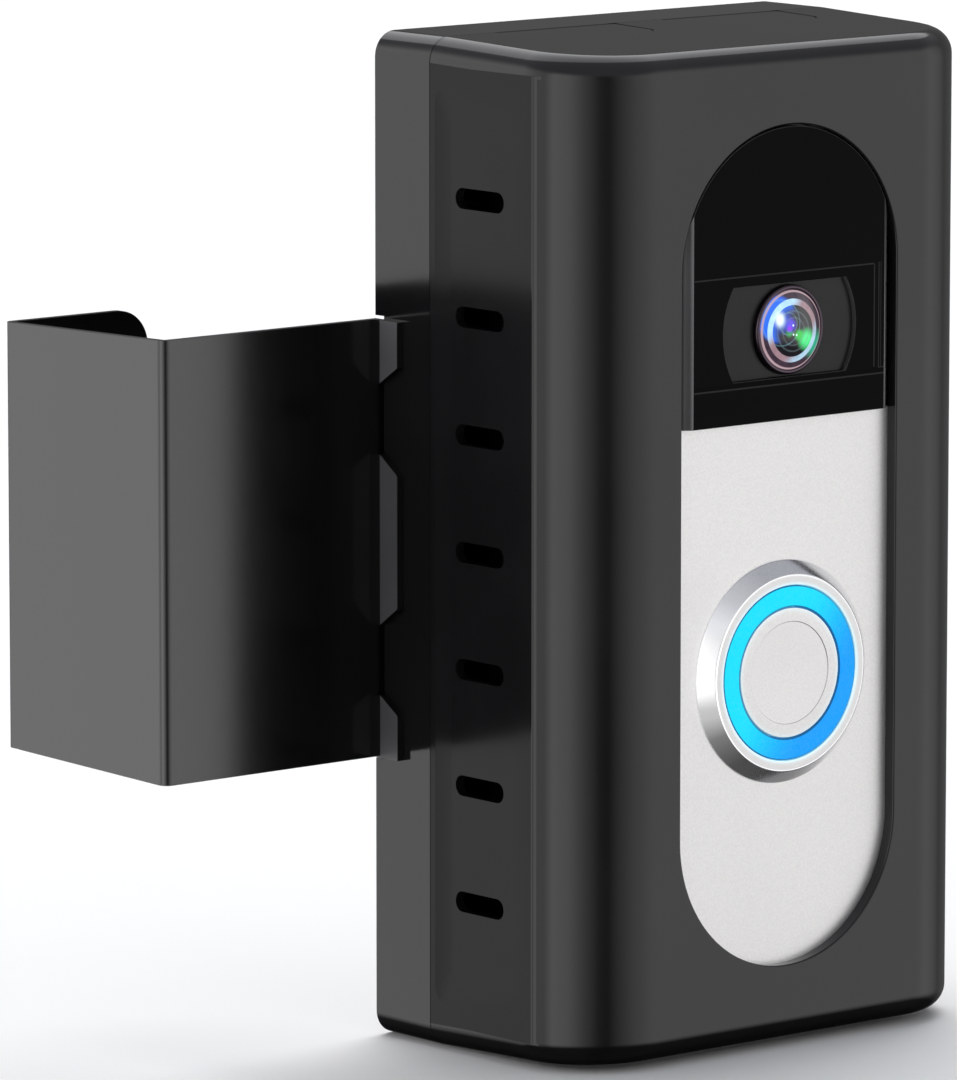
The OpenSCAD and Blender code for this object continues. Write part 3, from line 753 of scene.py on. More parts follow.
def both_sides(piece, axis=0):
    """Joins a piece with its mirror image across the middle."""
    applied(piece, "MIRROR", use_axis=[n == axis for n in range(3)], use_mirror_merge=False)
    return piece


def finished(piece, finish, node, body="housing", edge=0.0, angle=32, segments=2):
    """Rounds sharp edges, smooths the shading and hands the piece to the frame."""
    if edge:
        applied(piece, "BEVEL", width=edge * MM, segments=segments, limit_method="ANGLE",
                angle_limit=radians(angle), use_clamp_overlap=True)
    alone(piece)
    bpy.ops.object.shade_smooth_by_angle(angle=radians(angle))
    applied(piece, "WEIGHTED_NORMAL", keep_sharp=True, weight=60)
    piece.data.materials.clear()
    for material in finish if isinstance(finish, list) else [finish]:
        piece.data.materials.append(material)
    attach(piece, body)
    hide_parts(node)
    return piece


def second_finish(piece, test):
    """Gives the second finish to the faces whose normal and middle pass the test."""
    for face in piece.data.polygons:
        face.material_index = int(test(face.normal, face.center / MM))


# ---------- the housing ----------


def cover_block(name, back, grow=0.0):
    """The covers' outside from the door side to the front face, with its draft and round edges."""
    size = sizes()
    front = FRONT_LOW.y - grow
    piece = block(name, (FRONT_LOW.x - grow, front, FRONT_LOW.z - grow),
                  (FRONT_HIGH.x + grow, back, FRONT_HIGH.z + grow))
    shape(piece)
    pick("FACE", facing(1, -1))
    wide = (size.front_width + 2 * grow) / (FRONT_HIGH.x - FRONT_LOW.x + 2 * grow)
    tall = (size.front_height + 2 * grow) / (FRONT_HIGH.z - FRONT_LOW.z + 2 * grow)
    stretch((wide, 1, tall), (0, front, 0))
    near = (front + 0.1) * MM
    pick("EDGE", lambda e: all(v.co.y < near for v in e.verts)
         and abs(e.verts[0].co.x - e.verts[1].co.x) < MM)
    bevel(size.corner + grow, 24)
    pick("EDGE", lambda e: e.is_manifold and max(abs(f.normal.z) for f in e.link_faces) > 0.9
         and min(abs(f.normal.z) for f in e.link_faces) < 0.5
         and all(f.normal.y < 0.9 for f in e.link_faces))
    bevel(size.rim + grow, 10)
    done()
    return piece


def window_cutter():
    """The window's cutter, which flares out along the window's soft front edge."""
    size = sizes()
    half_w, half_h = size.window_width / 2, size.window_height / 2
    front, soft = FRONT_LOW.y, size.window_edge
    piece = pill("window_cutter", half_w, half_h, front + soft, front + 4)
    shape(piece)
    pick("FACE", facing(1, -1))
    grown = 0.0
    for n in range(1, 5):
        turn = n * pi / 8
        reach = soft * (1 - cos(turn))
        push((0, -soft * (sin(turn) - sin(turn - pi / 8)), 0))
        stretch(((half_w + reach) / (half_w + grown), 1, (half_h + reach) / (half_h + grown)))
        grown = reach
    push((0, -1, 0))
    done()
    return piece


def slot_cutters():
    """One rounded slot, repeated down the side and mirrored to the other side."""
    size = sizes()
    half_l, half_h = size.slot_length / 2, size.slot_height / 2
    first = (size.slot_count - 1) / 2 * size.slot_pitch
    top = slab("slot_cutter", (FRONT_LOW.x - 1, -size.slot_depth - half_l, first - half_h),
               (FRONT_LOW.x + 4, -size.slot_depth + half_l, first + half_h), half_h * 0.98, 0, 8)
    others = [copied(top, (0, 0, -n * size.slot_pitch)) for n in range(1, size.slot_count)]
    return both_sides(joined(top, *others))


def relief_cutter():
    """The shallow pressed panel round the slots, with long soft slopes."""
    low, high = -31, -17
    long_half, wide_half, slope = 65.6, 7.0, 3.2
    mouth = FRONT_LOW.x + 0.01
    floor = FRONT_LOW.x + 0.19 + sizes().relief
    piece = slab("relief_cutter", (mouth, low, -long_half), (floor, high, long_half), 3, 0, 6)
    shape(piece)
    pick("FACE", facing(0, -1))
    stretch((1, (wide_half + slope) / wide_half, (long_half + slope) / long_half),
            (mouth, (low + high) / 2, 0))
    push((-1, 0, 0))
    done()
    return both_sides(piece)


def side_band():
    """The raised side panel whose rounded front edge stands just proud of the big corner."""
    start, end = FRONT_HIGH.y, -36.5
    outer = FRONT_LOW.x - 0.02
    piece = block("side_band", (outer, end, -71), (outer + 1.7, start, 71))
    shape(piece)
    pick("VERT", lambda v: v.co.y < (end + 0.1) * MM)
    shift((0.55 * (start - end) / (FRONT_HIGH.y - FRONT_LOW.y), 0, 0))
    pick("EDGE", lambda e: along(2, 1, end + 0.1)(e) and e.verts[0].co.x < (outer + 1) * MM)
    bevel(1.35, 8)
    done()
    return both_sides(piece)


def tab_block(name, grow):
    """The four interlocking tabs, seen from above as rectangles with two round corners."""
    reach = 23.2 + grow
    piece = block(name, (4.6 - grow, -reach, 72.85 - grow), (27.7 + grow, -11, 76))
    shape(piece)
    pick("EDGE", along(2, 1, 0.1 - reach))
    bevel(3, 8)
    done()
    return both_sides(both_sides(piece), 2)


class DOORBELL_OT_front_cover(bpy.types.Operator):
    """Models the front cover: shell, window, side slots, pressed panels and tab notches"""

    bl_idname = "doorbell.front_cover"
    bl_label = "Front cover"

    def execute(self, context):
        piece = cover_block("front_cover_shell", FRONT_HIGH.y)
        combined(piece, side_band(), "UNION")
        combined(piece, cover_block("inside_cutter", FRONT_HIGH.y + 2, -sizes().wall))
        bosses = block("boss", (29.4, -22.5, -73.6), (36.6, -15.9, -70.6))
        combined(piece, both_sides(bosses), "UNION")
        combined(piece, relief_cutter())
        combined(piece, slot_cutters())
        combined(piece, window_cutter())
        combined(piece, tab_block("notches", 0.15))
        wells = [(0, -76), (3.1, -76), (3.1, -72.9), (1.7, -72.9), (1.7, -65), (0, -65)]
        combined(piece, both_sides(turned("wells", wells, COVER_SCREW, UPRIGHT, 40)))
        black = colours().front_black
        satin = side_moulding("front_cover_finish", black, 0.5)
        panel = side_moulding("side_panel_finish", shade(black, 1.3), 0.17)
        finished(piece, [satin, panel], "front_cover")
        second_finish(piece, lambda normal, middle: abs(normal.x) > 0.9 and abs(middle.x) > 38
                      and abs(middle.z) < 71 and -34.6 < middle.y < -12.6)
        return {"FINISHED"}


class DOORBELL_OT_rear_cover(bpy.types.Operator):
    """Models the rear cover: tray, lip, posts, interlocking tabs and the bracket's notch"""

    bl_idname = "doorbell.rear_cover"
    bl_label = "Rear cover"

    def execute(self, context):
        size = sizes()
        half_w, half_h = REAR_HIGH.x, REAR_HIGH.z
        piece = slab("rear_cover_tray", (-half_w, -12.5, -half_h), (half_w, 0, half_h), size.rim)
        shape(piece)
        pick("FACE", facing(1, -1))
        bpy.ops.mesh.inset(thickness=size.wall * MM, depth=0)
        push((0, 9.5, 0))
        done()
        lip_w, lip_h = half_w - size.wall - 0.25, half_h - size.wall - 0.25
        hole_w, hole_h = lip_w - 1.2, lip_h - 1.2
        for name, wide, tall, front, back, radius in (
            ("step", half_w - 1, half_h - 1, -12.4, -9.6, 2.5), ("lip", lip_w, lip_h, -15.5, -9.5, 1.7),
        ):
            ring = slab(name, (-wide, front, -tall), (wide, back, tall), radius, segments=6)
            combined(ring, slab("hole", (-hole_w, -17, -hole_h), (hole_w, -8, hole_h), 1, segments=4))
            combined(piece, ring, "UNION")
        tabs = combined(tab_block("tabs", 0), cover_block("tab_form", -10), "INTERSECT")
        combined(piece, tabs, "UNION")
        posts = [(0, 2), (4.5, 2), (4.5, 14), (1.85, 14), (1.85, 5), (0, 5)]
        post = turned("post", posts, (20, 0, 48), steps=40)
        combined(piece, both_sides(both_sides(post), 2), "UNION")
        combined(piece, both_sides(block("boss", (29.4, -22.5, -70.3), (36.6, -2, -64.5))), "UNION")
        combined(piece, both_sides(bore(2.35, -71, -64.8, COVER_SCREW, 32, UPRIGHT)))
        combined(piece, block("notch", (-half_w - 1, -2, -33.1), (-37.9, 1, 33.1)))
        combined(piece, both_sides(block("pocket", (-half_w - 1, -1.5, 12), (-17, 1, 24)), 2))
        combined(piece, both_sides(slab("rest", (-30, -0.8, 45), (30, 1, 67), 4, segments=8), 2))
        combined(piece, both_sides(bore(2.1, -1, 5, TONGUE_SCREW, 32), 2))
        finish = moulded("rear_cover_finish", colours().rear_black, 0.10, 0.5, 0.5, 0.0015)
        finished(piece, finish, "rear_cover", edge=0.18)
        return {"FINISHED"}


# ---------- the bracket and its clamps ----------


class DOORBELL_OT_bracket(bpy.types.Operator):
    """Folds the door bracket from one sheet, with its flange bars, tongues and holes"""

    bl_idname = "doorbell.bracket"
    bl_label = "Door bracket"

    front = -1.3
    inner = -40.05
    bar_tip = -6.5

    def execute(self, context):
        size = sizes()
        sheet, front, inner = size.sheet, self.front, self.inner
        side, leg, half = BRACKET_LOW.x, BRACKET_HIGH.y, BRACKET_HIGH.z
        end = half - size.taper
        piece = started("bracket_sheet", metres((inner, front, -half)))
        for way in ((side - inner, 0, 0), (0, leg - front, 0), (26, 0, 0)):
            draw_on(metres(way))
        pick_all()
        push((0, 0, 2 * half))
        pick_all()
        bpy.ops.mesh.normals_make_consistent(inside=False)
        pick("EDGE", along(2, 0, side + 0.1))
        bevel(size.bend, 8)
        pick("VERT", lambda v: v.co.y > (leg - 2) * MM)
        stretch((1, 1, end / half))
        done()
        applied(piece, "SOLIDIFY", thickness=sheet * MM, offset=-1, use_even_offset=True)
        if max(v.co.y for v in piece.data.vertices) > (leg + 0.1) * MM:
            raise RuntimeError("the bracket's sheet grew outwards")
        corner = slab("corner_keeper", (side - 10, 30, -end), (side + 26, 40, end), 5.5, segments=12)
        keeper = block("sheet_keeper", (side - 1, -10, -half - 1), (0, 34, half + 1))
        combined(piece, combined(corner, keeper, "UNION"), "INTERSECT")
        for bottom, top, slant_low, slant_high in (
            (-12.7, 12.7, 2.8, 2.8), (23.3, 32.65, 2.6, 0), (-32.65, -23.3, 0, 2.6),
        ):
            combined(piece, self.bar(bottom, top, slant_low, slant_high), "UNION")
        tongue = slab("tongue", (-44, front, 12.05), (-18, front + sheet, 23.95), 2, segments=6)
        combined(piece, both_sides(tongue, 2), "UNION")
        combined(piece, both_sides(bore(2.1, -1, 3, TONGUE_SCREW, 32), 2))
        combined(piece, both_sides(bore(3.05, -40, -33, UPPER_CLAMP, 40), 2))
        gloss = moulded("bracket_finish", colours().bracket_black, 0.17, 1.0, 0.8, 0.002)
        # Painted light: the flange bars' faces that look left get a lighter grey, standing in for their lit
        # side.
        flange_lit_side_grey = moulded("flange_bar_painted_lit_side", (0.085, 0.085, 0.088), 0.34, 0.3, 0.8, 0.002)
        finished(piece, [gloss, flange_lit_side_grey], "door_bracket", edge=0.22)
        second_finish(piece, lambda normal, middle: normal.x < -0.9 and middle.x > -42 and middle.y < -2.2)
        return {"FINISHED"}

    def bar(self, bottom, top, slant_low, slant_high):
        """One flange bar; its free ends slant in towards the tip."""
        piece = block("bar", (self.inner - sizes().sheet, self.bar_tip, bottom), (self.inner, -0.1, top))
        shape(piece)
        pick_all()
        bpy.ops.mesh.bisect(plane_co=metres((0, -2.5, 0)), plane_no=(0, 1, 0))
        near, middle = (self.bar_tip + 0.1) * MM, (bottom + top) / 2 * MM
        pick("VERT", lambda v: v.co.y < near and v.co.z < middle)
        shift((0, 0, slant_low))
        pick("VERT", lambda v: v.co.y < near and v.co.z > middle)
        shift((0, 0, -slant_high))
        done()
        return piece


class DOORBELL_OT_clamps(bpy.types.Operator):
    """Models the clamp nuts, the hollow-ended clamp screws and their nylon tips"""

    bl_idname = "doorbell.clamps"
    bl_label = "Clamp screws"

    def execute(self, context):
        steel = polished("clamp_steel", colours().steel, 0.27)
        self.nuts(steel)
        nylon = moulded("nylon", (0.72, 0.71, 0.66), 0.42, 0.4, 0.5, 0.006)
        for side, height in (("upper", 16), ("lower", -16)):
            at = (-67, 0, height)
            points = [(1.75, -36.25), (2.5, -36.25), (3, -36.75)]
            for n in range(13):
                far = 37.2 + 0.8 * n
                points += [(2.99, -far), (2.72, -far - 0.3), (2.72, -far - 0.45), (2.99, -far - 0.7)]
            points += [(3, -47.75), (2.5, -48.25), (0, -48.25), (0, -39.65), (1.75, -39.65), (1.75, -36.25)]
            screw = turned(f"clamp_screw_{side}_turned", points, at, steps=48)
            combined(screw, hexagon("hex_socket", 1.75, 5, (-67, 47.25, height)))
            finished(screw, steel, f"clamp_screw_{side}", f"{side}_screw", angle=25)
            points = [(0, -35.75), (1.25, -35.75), (1.55, -35.83), (1.7, -36.05), (1.7, -39.2),
                      (1.6, -39.35), (0, -39.35)]
            tip = turned(f"screw_tip_{side}_turned", points, at, steps=40)
            finished(tip, nylon, f"screw_tip_{side}", f"{side}_tip", edge=0.05)
        return {"FINISHED"}

    def nuts(self, steel):
        near, far = (corner.y for corner in box("leg_nuts"))
        nut = hexagon("leg_nuts_hexagons", 5.8, far - near, (-67, (near + far) / 2, 16))
        chamfer = [(0, -36.9), (5.9, -36.9), (5.9, -40.2), (4.9, -41.0), (0, -41.0)]
        combined(nut, turned("chamfer", chamfer, UPPER_CLAMP, steps=64), "INTERSECT")
        thread = [(0, -36), (3.05, -36), (3.05, -40.6), (3.5, -41.1), (0, -41.1)]
        combined(nut, turned("thread", thread, UPPER_CLAMP, steps=48))
        finished(both_sides(nut, 2), steel, "leg_nuts", edge=0.08)


# ---------- pads and small screws ----------


class DOORBELL_OT_pads(bpy.types.Operator):
    """Models the rubber pads of the back and the bracket, and the foam behind the doorbell"""

    bl_idname = "doorbell.pads"
    bl_label = "Pads"

    def execute(self, context):
        black = rubber("pad_rubber_finish", colours().rubber)
        pad = slab("back_pads_ribbed", (-29.8, -0.75, 45.2), (29.8, 0, 66.8), 3.8, segments=8)
        grooves = []
        for n in range(6):
            height = 48.6 + 2.96 * n
            low, high = (-27, -0.25, height - 0.45), (27, 1, height + 0.45)
            grooves.append(slab("groove", low, high, 0.44, segments=4))
        combined(pad, joined(*grooves))
        finished(both_sides(pad, 2), black, "back_pads", edge=0.12)
        low, high = box("edge_pad")
        pad = slab("edge_pad_ribbed", low, high, 1.5, axis=0, segments=5)
        grooves = []
        for n in range(7):
            at = 7.0 + 3.66 * n
            grooves.append(block("groove", (high.x - 0.3, at - 0.4, -26.5), (high.x + 1, at + 0.4, 26.5)))
        combined(pad, joined(*grooves))
        finished(pad, black, "edge_pad", edge=0.12)
        self.foam_blocks()
        return {"FINISHED"}

    def foam_blocks(self):
        """Two foam blocks with crowned faces and soft edges, squeezed between cover and doorbell."""
        low, high = box("spacer_pads")
        middle = (low.y + high.y) / 2
        piece = slab("spacer_pads_foam", (low.x, low.y, high.z - 12), high, 2, segments=5)
        shape(piece)
        pick("FACE", facing(1, -1))
        bpy.ops.mesh.inset(thickness=1.2 * MM)
        bpy.ops.mesh.inset(thickness=1.2 * MM)
        pick_all()
        bpy.ops.mesh.bisect(plane_co=metres((0, middle, 0)), plane_no=(0, 1, 0))
        pick("VERT", lambda v: abs(v.co.y - middle * MM) < 0.1 * MM)
        stretch((0.985, 1, 1), (0, middle, 0))
        done()
        applied(piece, "BEVEL", width=0.7 * MM, segments=4, limit_method="ANGLE", angle_limit=radians(50))
        finished(both_sides(piece, 2), foam("foam_finish", colours().foam), "spacer_pads")


class DOORBELL_OT_small_screws(bpy.types.Operator):
    """Models the cover screws and the bracket screws"""

    bl_idname = "doorbell.small_screws"
    bl_label = "Small screws"

    def execute(self, context):
        points = [(0, -74.5), (2.6, -74.5), (2.9, -74.1), (2.9, -72.9), (1.5, -72.9), (1.5, -66.2),
                  (1.1, -65.7), (0, -65.7)]
        screw = turned("cover_screws_turned", points, COVER_SCREW, UPRIGHT, 40)
        combined(screw, hexagon("hex_socket", 1.2, 2.2, (33, -19, -74.6), 0))
        dark = polished("cover_screw_finish", (0.16, 0.16, 0.17), 0.3)
        finished(both_sides(screw), dark, "cover_screws", angle=28)
        points = [(0, 0.2), (1.4, 0.2), (2, 0.7), (2, 3), (3.8, 3), (3.8, 3.99), (3.534, 4.65),
                  (2.85, 5.068), (1.9, 5.2), (0, 5.2)]
        screw = turned("bracket_screws_turned", points, TONGUE_SCREW, steps=40)
        combined(screw, hexagon("hex_socket", 1.7, 2.6, (-27, -5.2, 18)))
        steel = polished("screw_steel_finish", colours().steel, 0.25)
        finished(both_sides(screw, 2), steel, "bracket_screws", angle=28)
        return {"FINISHED"}


# ---------- the doorbell ----------


class DOORBELL_OT_faceplate(bpy.types.Operator):
    """Models the silver faceplate, bored for the button"""

    bl_idname = "doorbell.faceplate"
    bl_label = "Faceplate"

    def execute(self, context):
        piece = block("faceplate_plate", *box("faceplate"))
        shape(piece)
        pick("EDGE", along(1, 2, 0))
        bevel(12, 16)
        done()
        combined(piece, bore(14.25, 40, 50, BUTTON, 96))
        finish = silver_paint("faceplate_silver_finish", colours().silver)
        finished(piece, finish, "faceplate", edge=0.15)
        return {"FINISHED"}


def flatted_disc(name, radius, flat, near, far):
    """A disc facing forward at the lens, with a flat above and a flat below."""
    disc = bore(radius, near, far, LENS, 96)
    disc.name = disc.data.name = name
    keeper = block("keeper", (-radius * 2, -60, LENS_Z - flat), (radius * 2, 0, LENS_Z + flat))
    return combined(disc, keeper, "INTERSECT")


class DOORBELL_OT_camera(bpy.types.Operator):
    """Models the camera panel, the lens surround, the barrel and the glasses"""

    bl_idname = "doorbell.camera"
    bl_label = "Camera"

    def execute(self, context):
        self.panel()
        self.surround()
        barrel = [(4.8, 38), (6.6, 38), (6.6, 46.6), (6.52, 46.82), (6.38, 46.96), (6.2, 47.0), (6.02, 46.92),
                  (5.95, 46.7), (5.95, 45.5), (4.8, 45.5), (4.8, 38)]
        piece = turned("lens_barrel_turned", barrel, LENS)
        rim = polished("barrel_rim_finish", (0.10, 0.075, 0.095), 0.3)
        finished(piece, rim, "lens_barrel", angle=40)
        self.front_glass()
        glass = [(0, 42), (4.6, 42), (4.75, 42.15), (4.75, 43.2)]
        for n in range(1, 12):
            turn = n / 12 * pi / 2
            glass.append((4.75 * cos(turn), 43.2 + 1.55 * sin(turn)))
        glass.append((0, 44.75))
        piece = turned("inner_lens_turned", glass, LENS, steps=64)
        blue = clear_part("inner_glass", (0.10, 0.14, 0.30), 0.5)
        finished(piece, blue, "inner_lens", angle=40)
        return {"FINISHED"}

    def panel(self):
        """The raised panel: sloped sides, an opening for the lens and a hollow behind."""
        low, high = box("camera_panel")
        front, back = low.y, high.y
        half_w, half_h = sizes().window_width / 2 - 0.3, sizes().window_height / 2 - 0.3
        piece = block("camera_panel_plate", low, high)
        shape(piece)
        pick("EDGE", along(2, 1, front + 0.1))
        bevel(2.0, 6, 0.35)
        done()
        combined(piece, flatted_disc("opening", 13.0, 6.95, 40, 50))
        combined(piece, pill("outline", half_w, half_h, front - 1, back + 1), "INTERSECT")
        hollow = pill("hollow", half_w - 1.2, half_h - 1.2, front + 1.2, back + 1)
        keeper = block("keeper", (low.x + 2.6, front - 1, low.z + 1.2), (high.x - 2.6, back + 2, 80))
        combined(piece, combined(hollow, keeper, "INTERSECT"))
        window = panel_window("panel_window_finish", colours().panel_black)
        side = moulded("panel_side_finish", (0.055, 0.055, 0.057), 0.25, 0.9, 0.3, 0.002)
        finished(piece, [window, side], "camera_panel", edge=0.12, angle=40)
        second_finish(piece, lambda normal, middle: normal.y > -0.985)

    def surround(self):
        low, high = box("lens_surround")
        piece = flatted_disc("lens_surround_disc", 12.9, 6.85, -high.y, -low.y)
        combined(piece, bore(6.65, 40, 50, LENS, 96))
        finish = moulded("surround_finish", colours().surround_black, 0.30, 0.20, 0.3, 0.002)
        finished(piece, finish, "lens_surround", edge=0.2, angle=40, segments=3)

    def front_glass(self):
        """The domed front lens, a cap of a sphere seated inside the barrel's rim."""
        seat, rim, rise, reach = 45.55, 46.9, 2.0, 5.87
        ball = (reach * reach + rise * rise) / (2 * rise)
        points = [(0, seat), (reach, seat), (reach, rim)]
        for n in range(1, 16):
            radius = reach * (1 - n / 16)
            points.append((radius, rim + rise - ball + (ball * ball - radius * radius) ** 0.5))
        points.append((0, rim + rise))
        piece = turned("front_lens_dome", points, LENS)
        finished(piece, lens_painted_reflections("front_lens_painted_reflections"), "front_lens", angle=50)


class DOORBELL_OT_button(bpy.types.Operator):
    """Models the bezel, the light ring and the button cap"""

    bl_idname = "doorbell.button"
    bl_label = "Button"

    def execute(self, context):
        face = 45.15
        top, lit, cap = (-box(node)[0].y for node in ("button_bezel", "light_ring", "button_cap"))
        points = [(13.25, 42.55), (14.2, 42.55), (14.2, face), (16.6, face), (16.6, face + 0.12),
                  (16.5, face + 0.3), (14.78, top - 0.12), (14.6, top - 0.02), (14.4, top), (13.2, top),
                  (13.08, top - 0.04), (13.02, top - 0.16), (13.0, 44.15), (13.25, 44.15), (13.25, 42.55)]
        piece = turned("button_bezel_turned", points, BUTTON, steps=128)
        finish = cone_metal("bezel_finish", colours().chrome)
        finished(piece, finish, "button_bezel", angle=22)
        points = [(11.4, 33.9), (12.4, 33.9), (12.4, face - 1.5), (12.95, face - 1.2), (12.95, lit - 0.14),
                  (12.9, lit - 0.04), (12.8, lit), (10.0, lit), (9.9, lit - 0.04), (9.85, lit - 0.14),
                  (9.85, face - 1.5), (11.4, face - 1.5), (11.4, 33.9)]
        piece = turned("light_ring_turned", points, BUTTON, steps=128)
        finish = glow_ring("light_ring_finish", colours().ring_cyan, colours().ring_blue)
        finished(piece, finish, "light_ring", angle=30)
        points = [(0, 38.3), (2.8, 38.3), (3, 38.5), (3, face - 2.9), (10.6, face - 2.9), (10.6, face - 1.8),
                  (9.65, face - 1.8), (9.65, cap - 0.15), (9.6, cap - 0.04), (9.48, cap), (7.68, cap),
                  (7.58, cap - 0.09), (7.3, cap - 0.1), (3.5, cap - 0.16), (0, cap - 0.19)]
        piece = turned("button_cap_turned", points, BUTTON, steps=128)
        finish = silver_paint("button_silver_finish", colours().silver, 9.9)
        finished(piece, finish, "button_cap", "button", angle=30)
        return {"FINISHED"}


# ---------- finishes of the carried-over pieces ----------


class DOORBELL_OT_inside(bpy.types.Operator):
    """Gives every carried-over piece inside the doorbell its own detailed finish"""

    bl_idname = "doorbell.inside"
    bl_label = "Inside pieces"

    def execute(self, context):
        bell = moulded("bell_moulding", (0.006, 0.006, 0.0065), 0.28, 0.4, 0.35, 0.004)
        plate = moulded("plate_moulding", (0.009, 0.009, 0.0095), 0.45, 0.4, 0.5, 0.012)
        steel = polished("inner_screw_steel", (0.52, 0.52, 0.54), 0.27)
        brass = knurled_brass("knurled_brass")
        seal = rubber("seal_rubber", (0.008, 0.008, 0.008))
        board = circuit_board("circuit_board_finish")
        package = chip("chip_package", (0.012, 0.012, 0.013))
        finishes = {
            "bell_body": bell, "bell_back_plate": plate, "lens_holder": plate, "lens_aperture": bell,
            "mount_screws": steel, "body_lock_screw": steel, "terminal_screws": brass,
            "cover_inserts": brass, "body_gasket": seal, "speaker_gasket": seal, "camera_board": board,
            "main_board": board, "processor": package, "button_switch": package,
            "image_sensor": chip("sensor_face", (0.05, 0.03, 0.09), 0.2),
            "radio_shield": chip("shield_tin_finish", (0.62, 0.62, 0.60), 0.32, 0.95),
            "microphone": chip("microphone_can", (0.55, 0.47, 0.30), 0.34, 0.9),
            "speaker": chip("speaker_cone", (0.02, 0.02, 0.021), 0.55),
            "motion_sensor": clear_part("motion_dome", (0.75, 0.75, 0.72), 1.0),
            "infrared_leds": clear_part("led_clear_finish", (0.55, 0.56, 0.62), 0.7),
            "ring_leds": clear_part("ring_led_finish", (0.80, 0.80, 0.62), 1.0),
            "button_spring": polished("spring_wire", (0.48, 0.48, 0.50), 0.22),
            "camera_flex": striped("flex_ribbon", (0.42, 0.17, 0.02), (0.72, 0.38, 0.12), 0.8, 0.7),
            "battery_pack": striped("battery_wrap_finish", (0.015, 0.06, 0.22), (0.02, 0.09, 0.30), 21,
                                    roughness=0.28),
            "battery_lead": striped("battery_lead_finish", (0.35, 0.008, 0.006), (0.45, 0.02, 0.015), 2),
        }
        for name, finish in finishes.items():
            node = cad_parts[name]
            node.data.materials.clear()
            node.data.materials.append(finish)
        return {"FINISHED"}


# ---------- the stage ----------


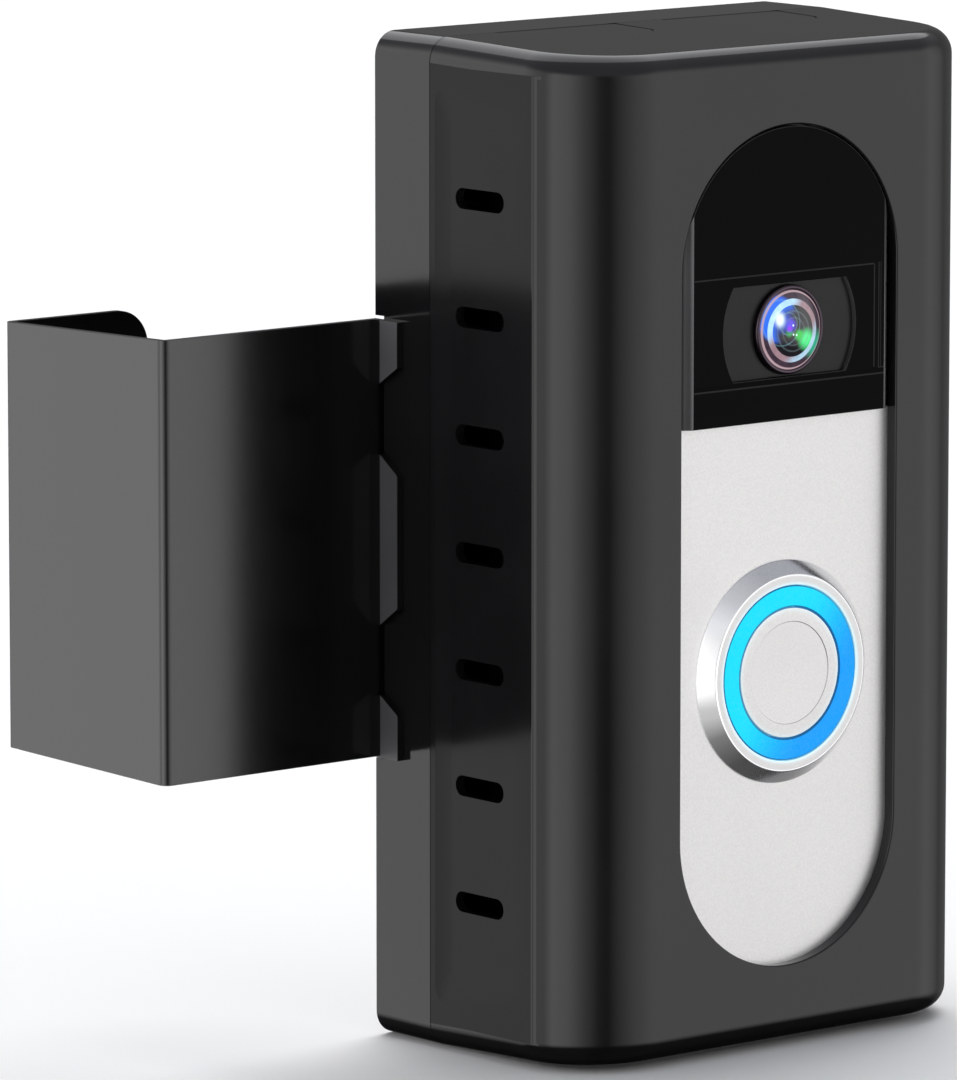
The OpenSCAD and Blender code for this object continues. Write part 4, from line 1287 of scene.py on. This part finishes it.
class DOORBELL_OT_stage(bpy.types.Operator):
    """Sets the camera, the pale floor, the soft overhead light and the studio surroundings"""

    bl_idname = "doorbell.stage"
    bl_label = "Stage"

    def execute(self, context):
        alone()
        bpy.ops.object.camera_add(location=(-0.8647057, -1.0086513, 0.1968765),
                                  rotation=(radians(81.3874), 0, radians(-39.9387)))
        camera = context.active_object
        camera.name = "camera"
        camera.data.lens = 296.99
        camera.data.sensor_width = 36
        camera.data.clip_start = 0.01
        context.scene.camera = camera
        context.scene.view_settings.view_transform = "Standard"
        self.floor()
        bpy.ops.object.light_add(type="SUN", location=(0.4, 0.5, 1.0),
                                 rotation=(radians(-30), radians(22), 0))
        sun = context.active_object
        sun.name = "overhead_light"
        sun.data.energy = 1.0
        sun.data.angle = radians(64)
        bpy.ops.object.duplicate(linked=False)
        fill = context.active_object
        fill.name = "overhead_fill"
        fill.data.energy = 1.4
        fill.visible_glossy = False
        self.surroundings()
        return {"FINISHED"}

    def floor(self):
        alone()
        bpy.ops.mesh.primitive_grid_add(x_subdivisions=24, y_subdivisions=24, size=16,
                                        location=(0, 0, CAD_BOX[0][2]))
        floor = settled("floor")
        s = shader("floor_paper")
        fibres = s.noise(30, 4)
        base = s.mix(fibres, (0.93, 0.93, 0.93), (0.95, 0.95, 0.95))
        floor.data.materials.append(s.principled(base=base, rough=0.85 + fibres * 0.1, gloss=0.0))
        floor.visible_glossy = False

    def surroundings(self):
        """A ring of studio light at eye level, brighter to the left and the right, calm above."""
        bpy.context.scene.world = bpy.data.worlds.new("studio")
        s = Shader(bpy.context.scene.world)
        x, y, z = s.split(s.node("ShaderNodeTexCoord", output="Generated"))
        bearing = (0 - y).maths("ARCTAN2", 0 - y, 0 - x) / (2 * pi) + 0.5
        levels = ((-180, 0.25), (-150, 0.14), (-125, 0.12), (-95, 0.3), (-72, 1.0), (-55, 1.45), (-38, 1.3),
                  (-14, 0.95), (-2, 1.8), (18, 1.55), (37, 0.75), (55, 0.16), (66, 0.08), (79, 0.45),
                  (100, 0.95), (122, 1.2), (150, 1.15), (168, 0.6), (180, 0.25))
        stops = [((turn + 180) / 360, level / 2) for turn, level in levels]
        ring = s.node("ShaderNodeValToRGB", {"stops": stops}, {0: bearing})
        rise = ((0.0, 0.02), (0.25, 0.03), (0.36, 1.0), (1.0, 1.0))
        above = s.node("ShaderNodeValToRGB", {"stops": rise}, {0: z * 0.5 + 0.5})
        eye_level = s.mix(1.0, ring, above, "MULTIPLY")
        sky = s.mix(z.step(0.32, 0.6), eye_level, (0.20, 0.205, 0.22))
        seen = s.node("ShaderNodeLightPath", output="Is Camera Ray")
        light = s.node("ShaderNodeBackground", values={"Color": sky, "Strength": 2.0})
        backdrop = s.node("ShaderNodeBackground", values={"Color": (0.97, 0.97, 0.97, 1), "Strength": 1.0})
        both = s.node("ShaderNodeMixShader", values={0: seen, 1: light, 2: backdrop})
        s.node("ShaderNodeOutputWorld", values={"Surface": both})


class DOORBELL_PT_maker(bpy.types.Panel):
    """Lists the pieces in the order in which they are made"""

    bl_label = "Video doorbell"
    bl_idname = "DOORBELL_PT_maker"
    bl_space_type = "VIEW_3D"
    bl_region_type = "UI"
    bl_category = "Doorbell"

    def draw(self, context):
        for maker in MAKERS:
            self.layout.operator(maker.bl_idname)
        for group in (context.scene.doorbell_sizes, context.scene.doorbell_colours):
            box = self.layout.box()
            for name in group.__annotations__:
                box.prop(group, name)


MAKERS = (
    DOORBELL_OT_stage, DOORBELL_OT_front_cover, DOORBELL_OT_rear_cover, DOORBELL_OT_bracket,
    DOORBELL_OT_clamps, DOORBELL_OT_pads, DOORBELL_OT_small_screws, DOORBELL_OT_faceplate,
    DOORBELL_OT_camera, DOORBELL_OT_button, DOORBELL_OT_inside,
)
CLASSES = (DoorbellSizes, DoorbellColours, *MAKERS, DOORBELL_PT_maker)


def register():
    for each in CLASSES:
        bpy.utils.register_class(each)
    bpy.types.Scene.doorbell_sizes = bpy.props.PointerProperty(type=DoorbellSizes)
    bpy.types.Scene.doorbell_colours = bpy.props.PointerProperty(type=DoorbellColours)


def unregister():
    del bpy.types.Scene.doorbell_colours
    del bpy.types.Scene.doorbell_sizes
    for each in reversed(CLASSES):
        bpy.utils.unregister_class(each)


def main():
    register()
    for maker in MAKERS:
        group, name = maker.bl_idname.split(".")
        if getattr(getattr(bpy.ops, group), name)() != {"FINISHED"}:
            raise RuntimeError(f"{maker.bl_label} was not made")


if __name__ == "__main__":
    main()
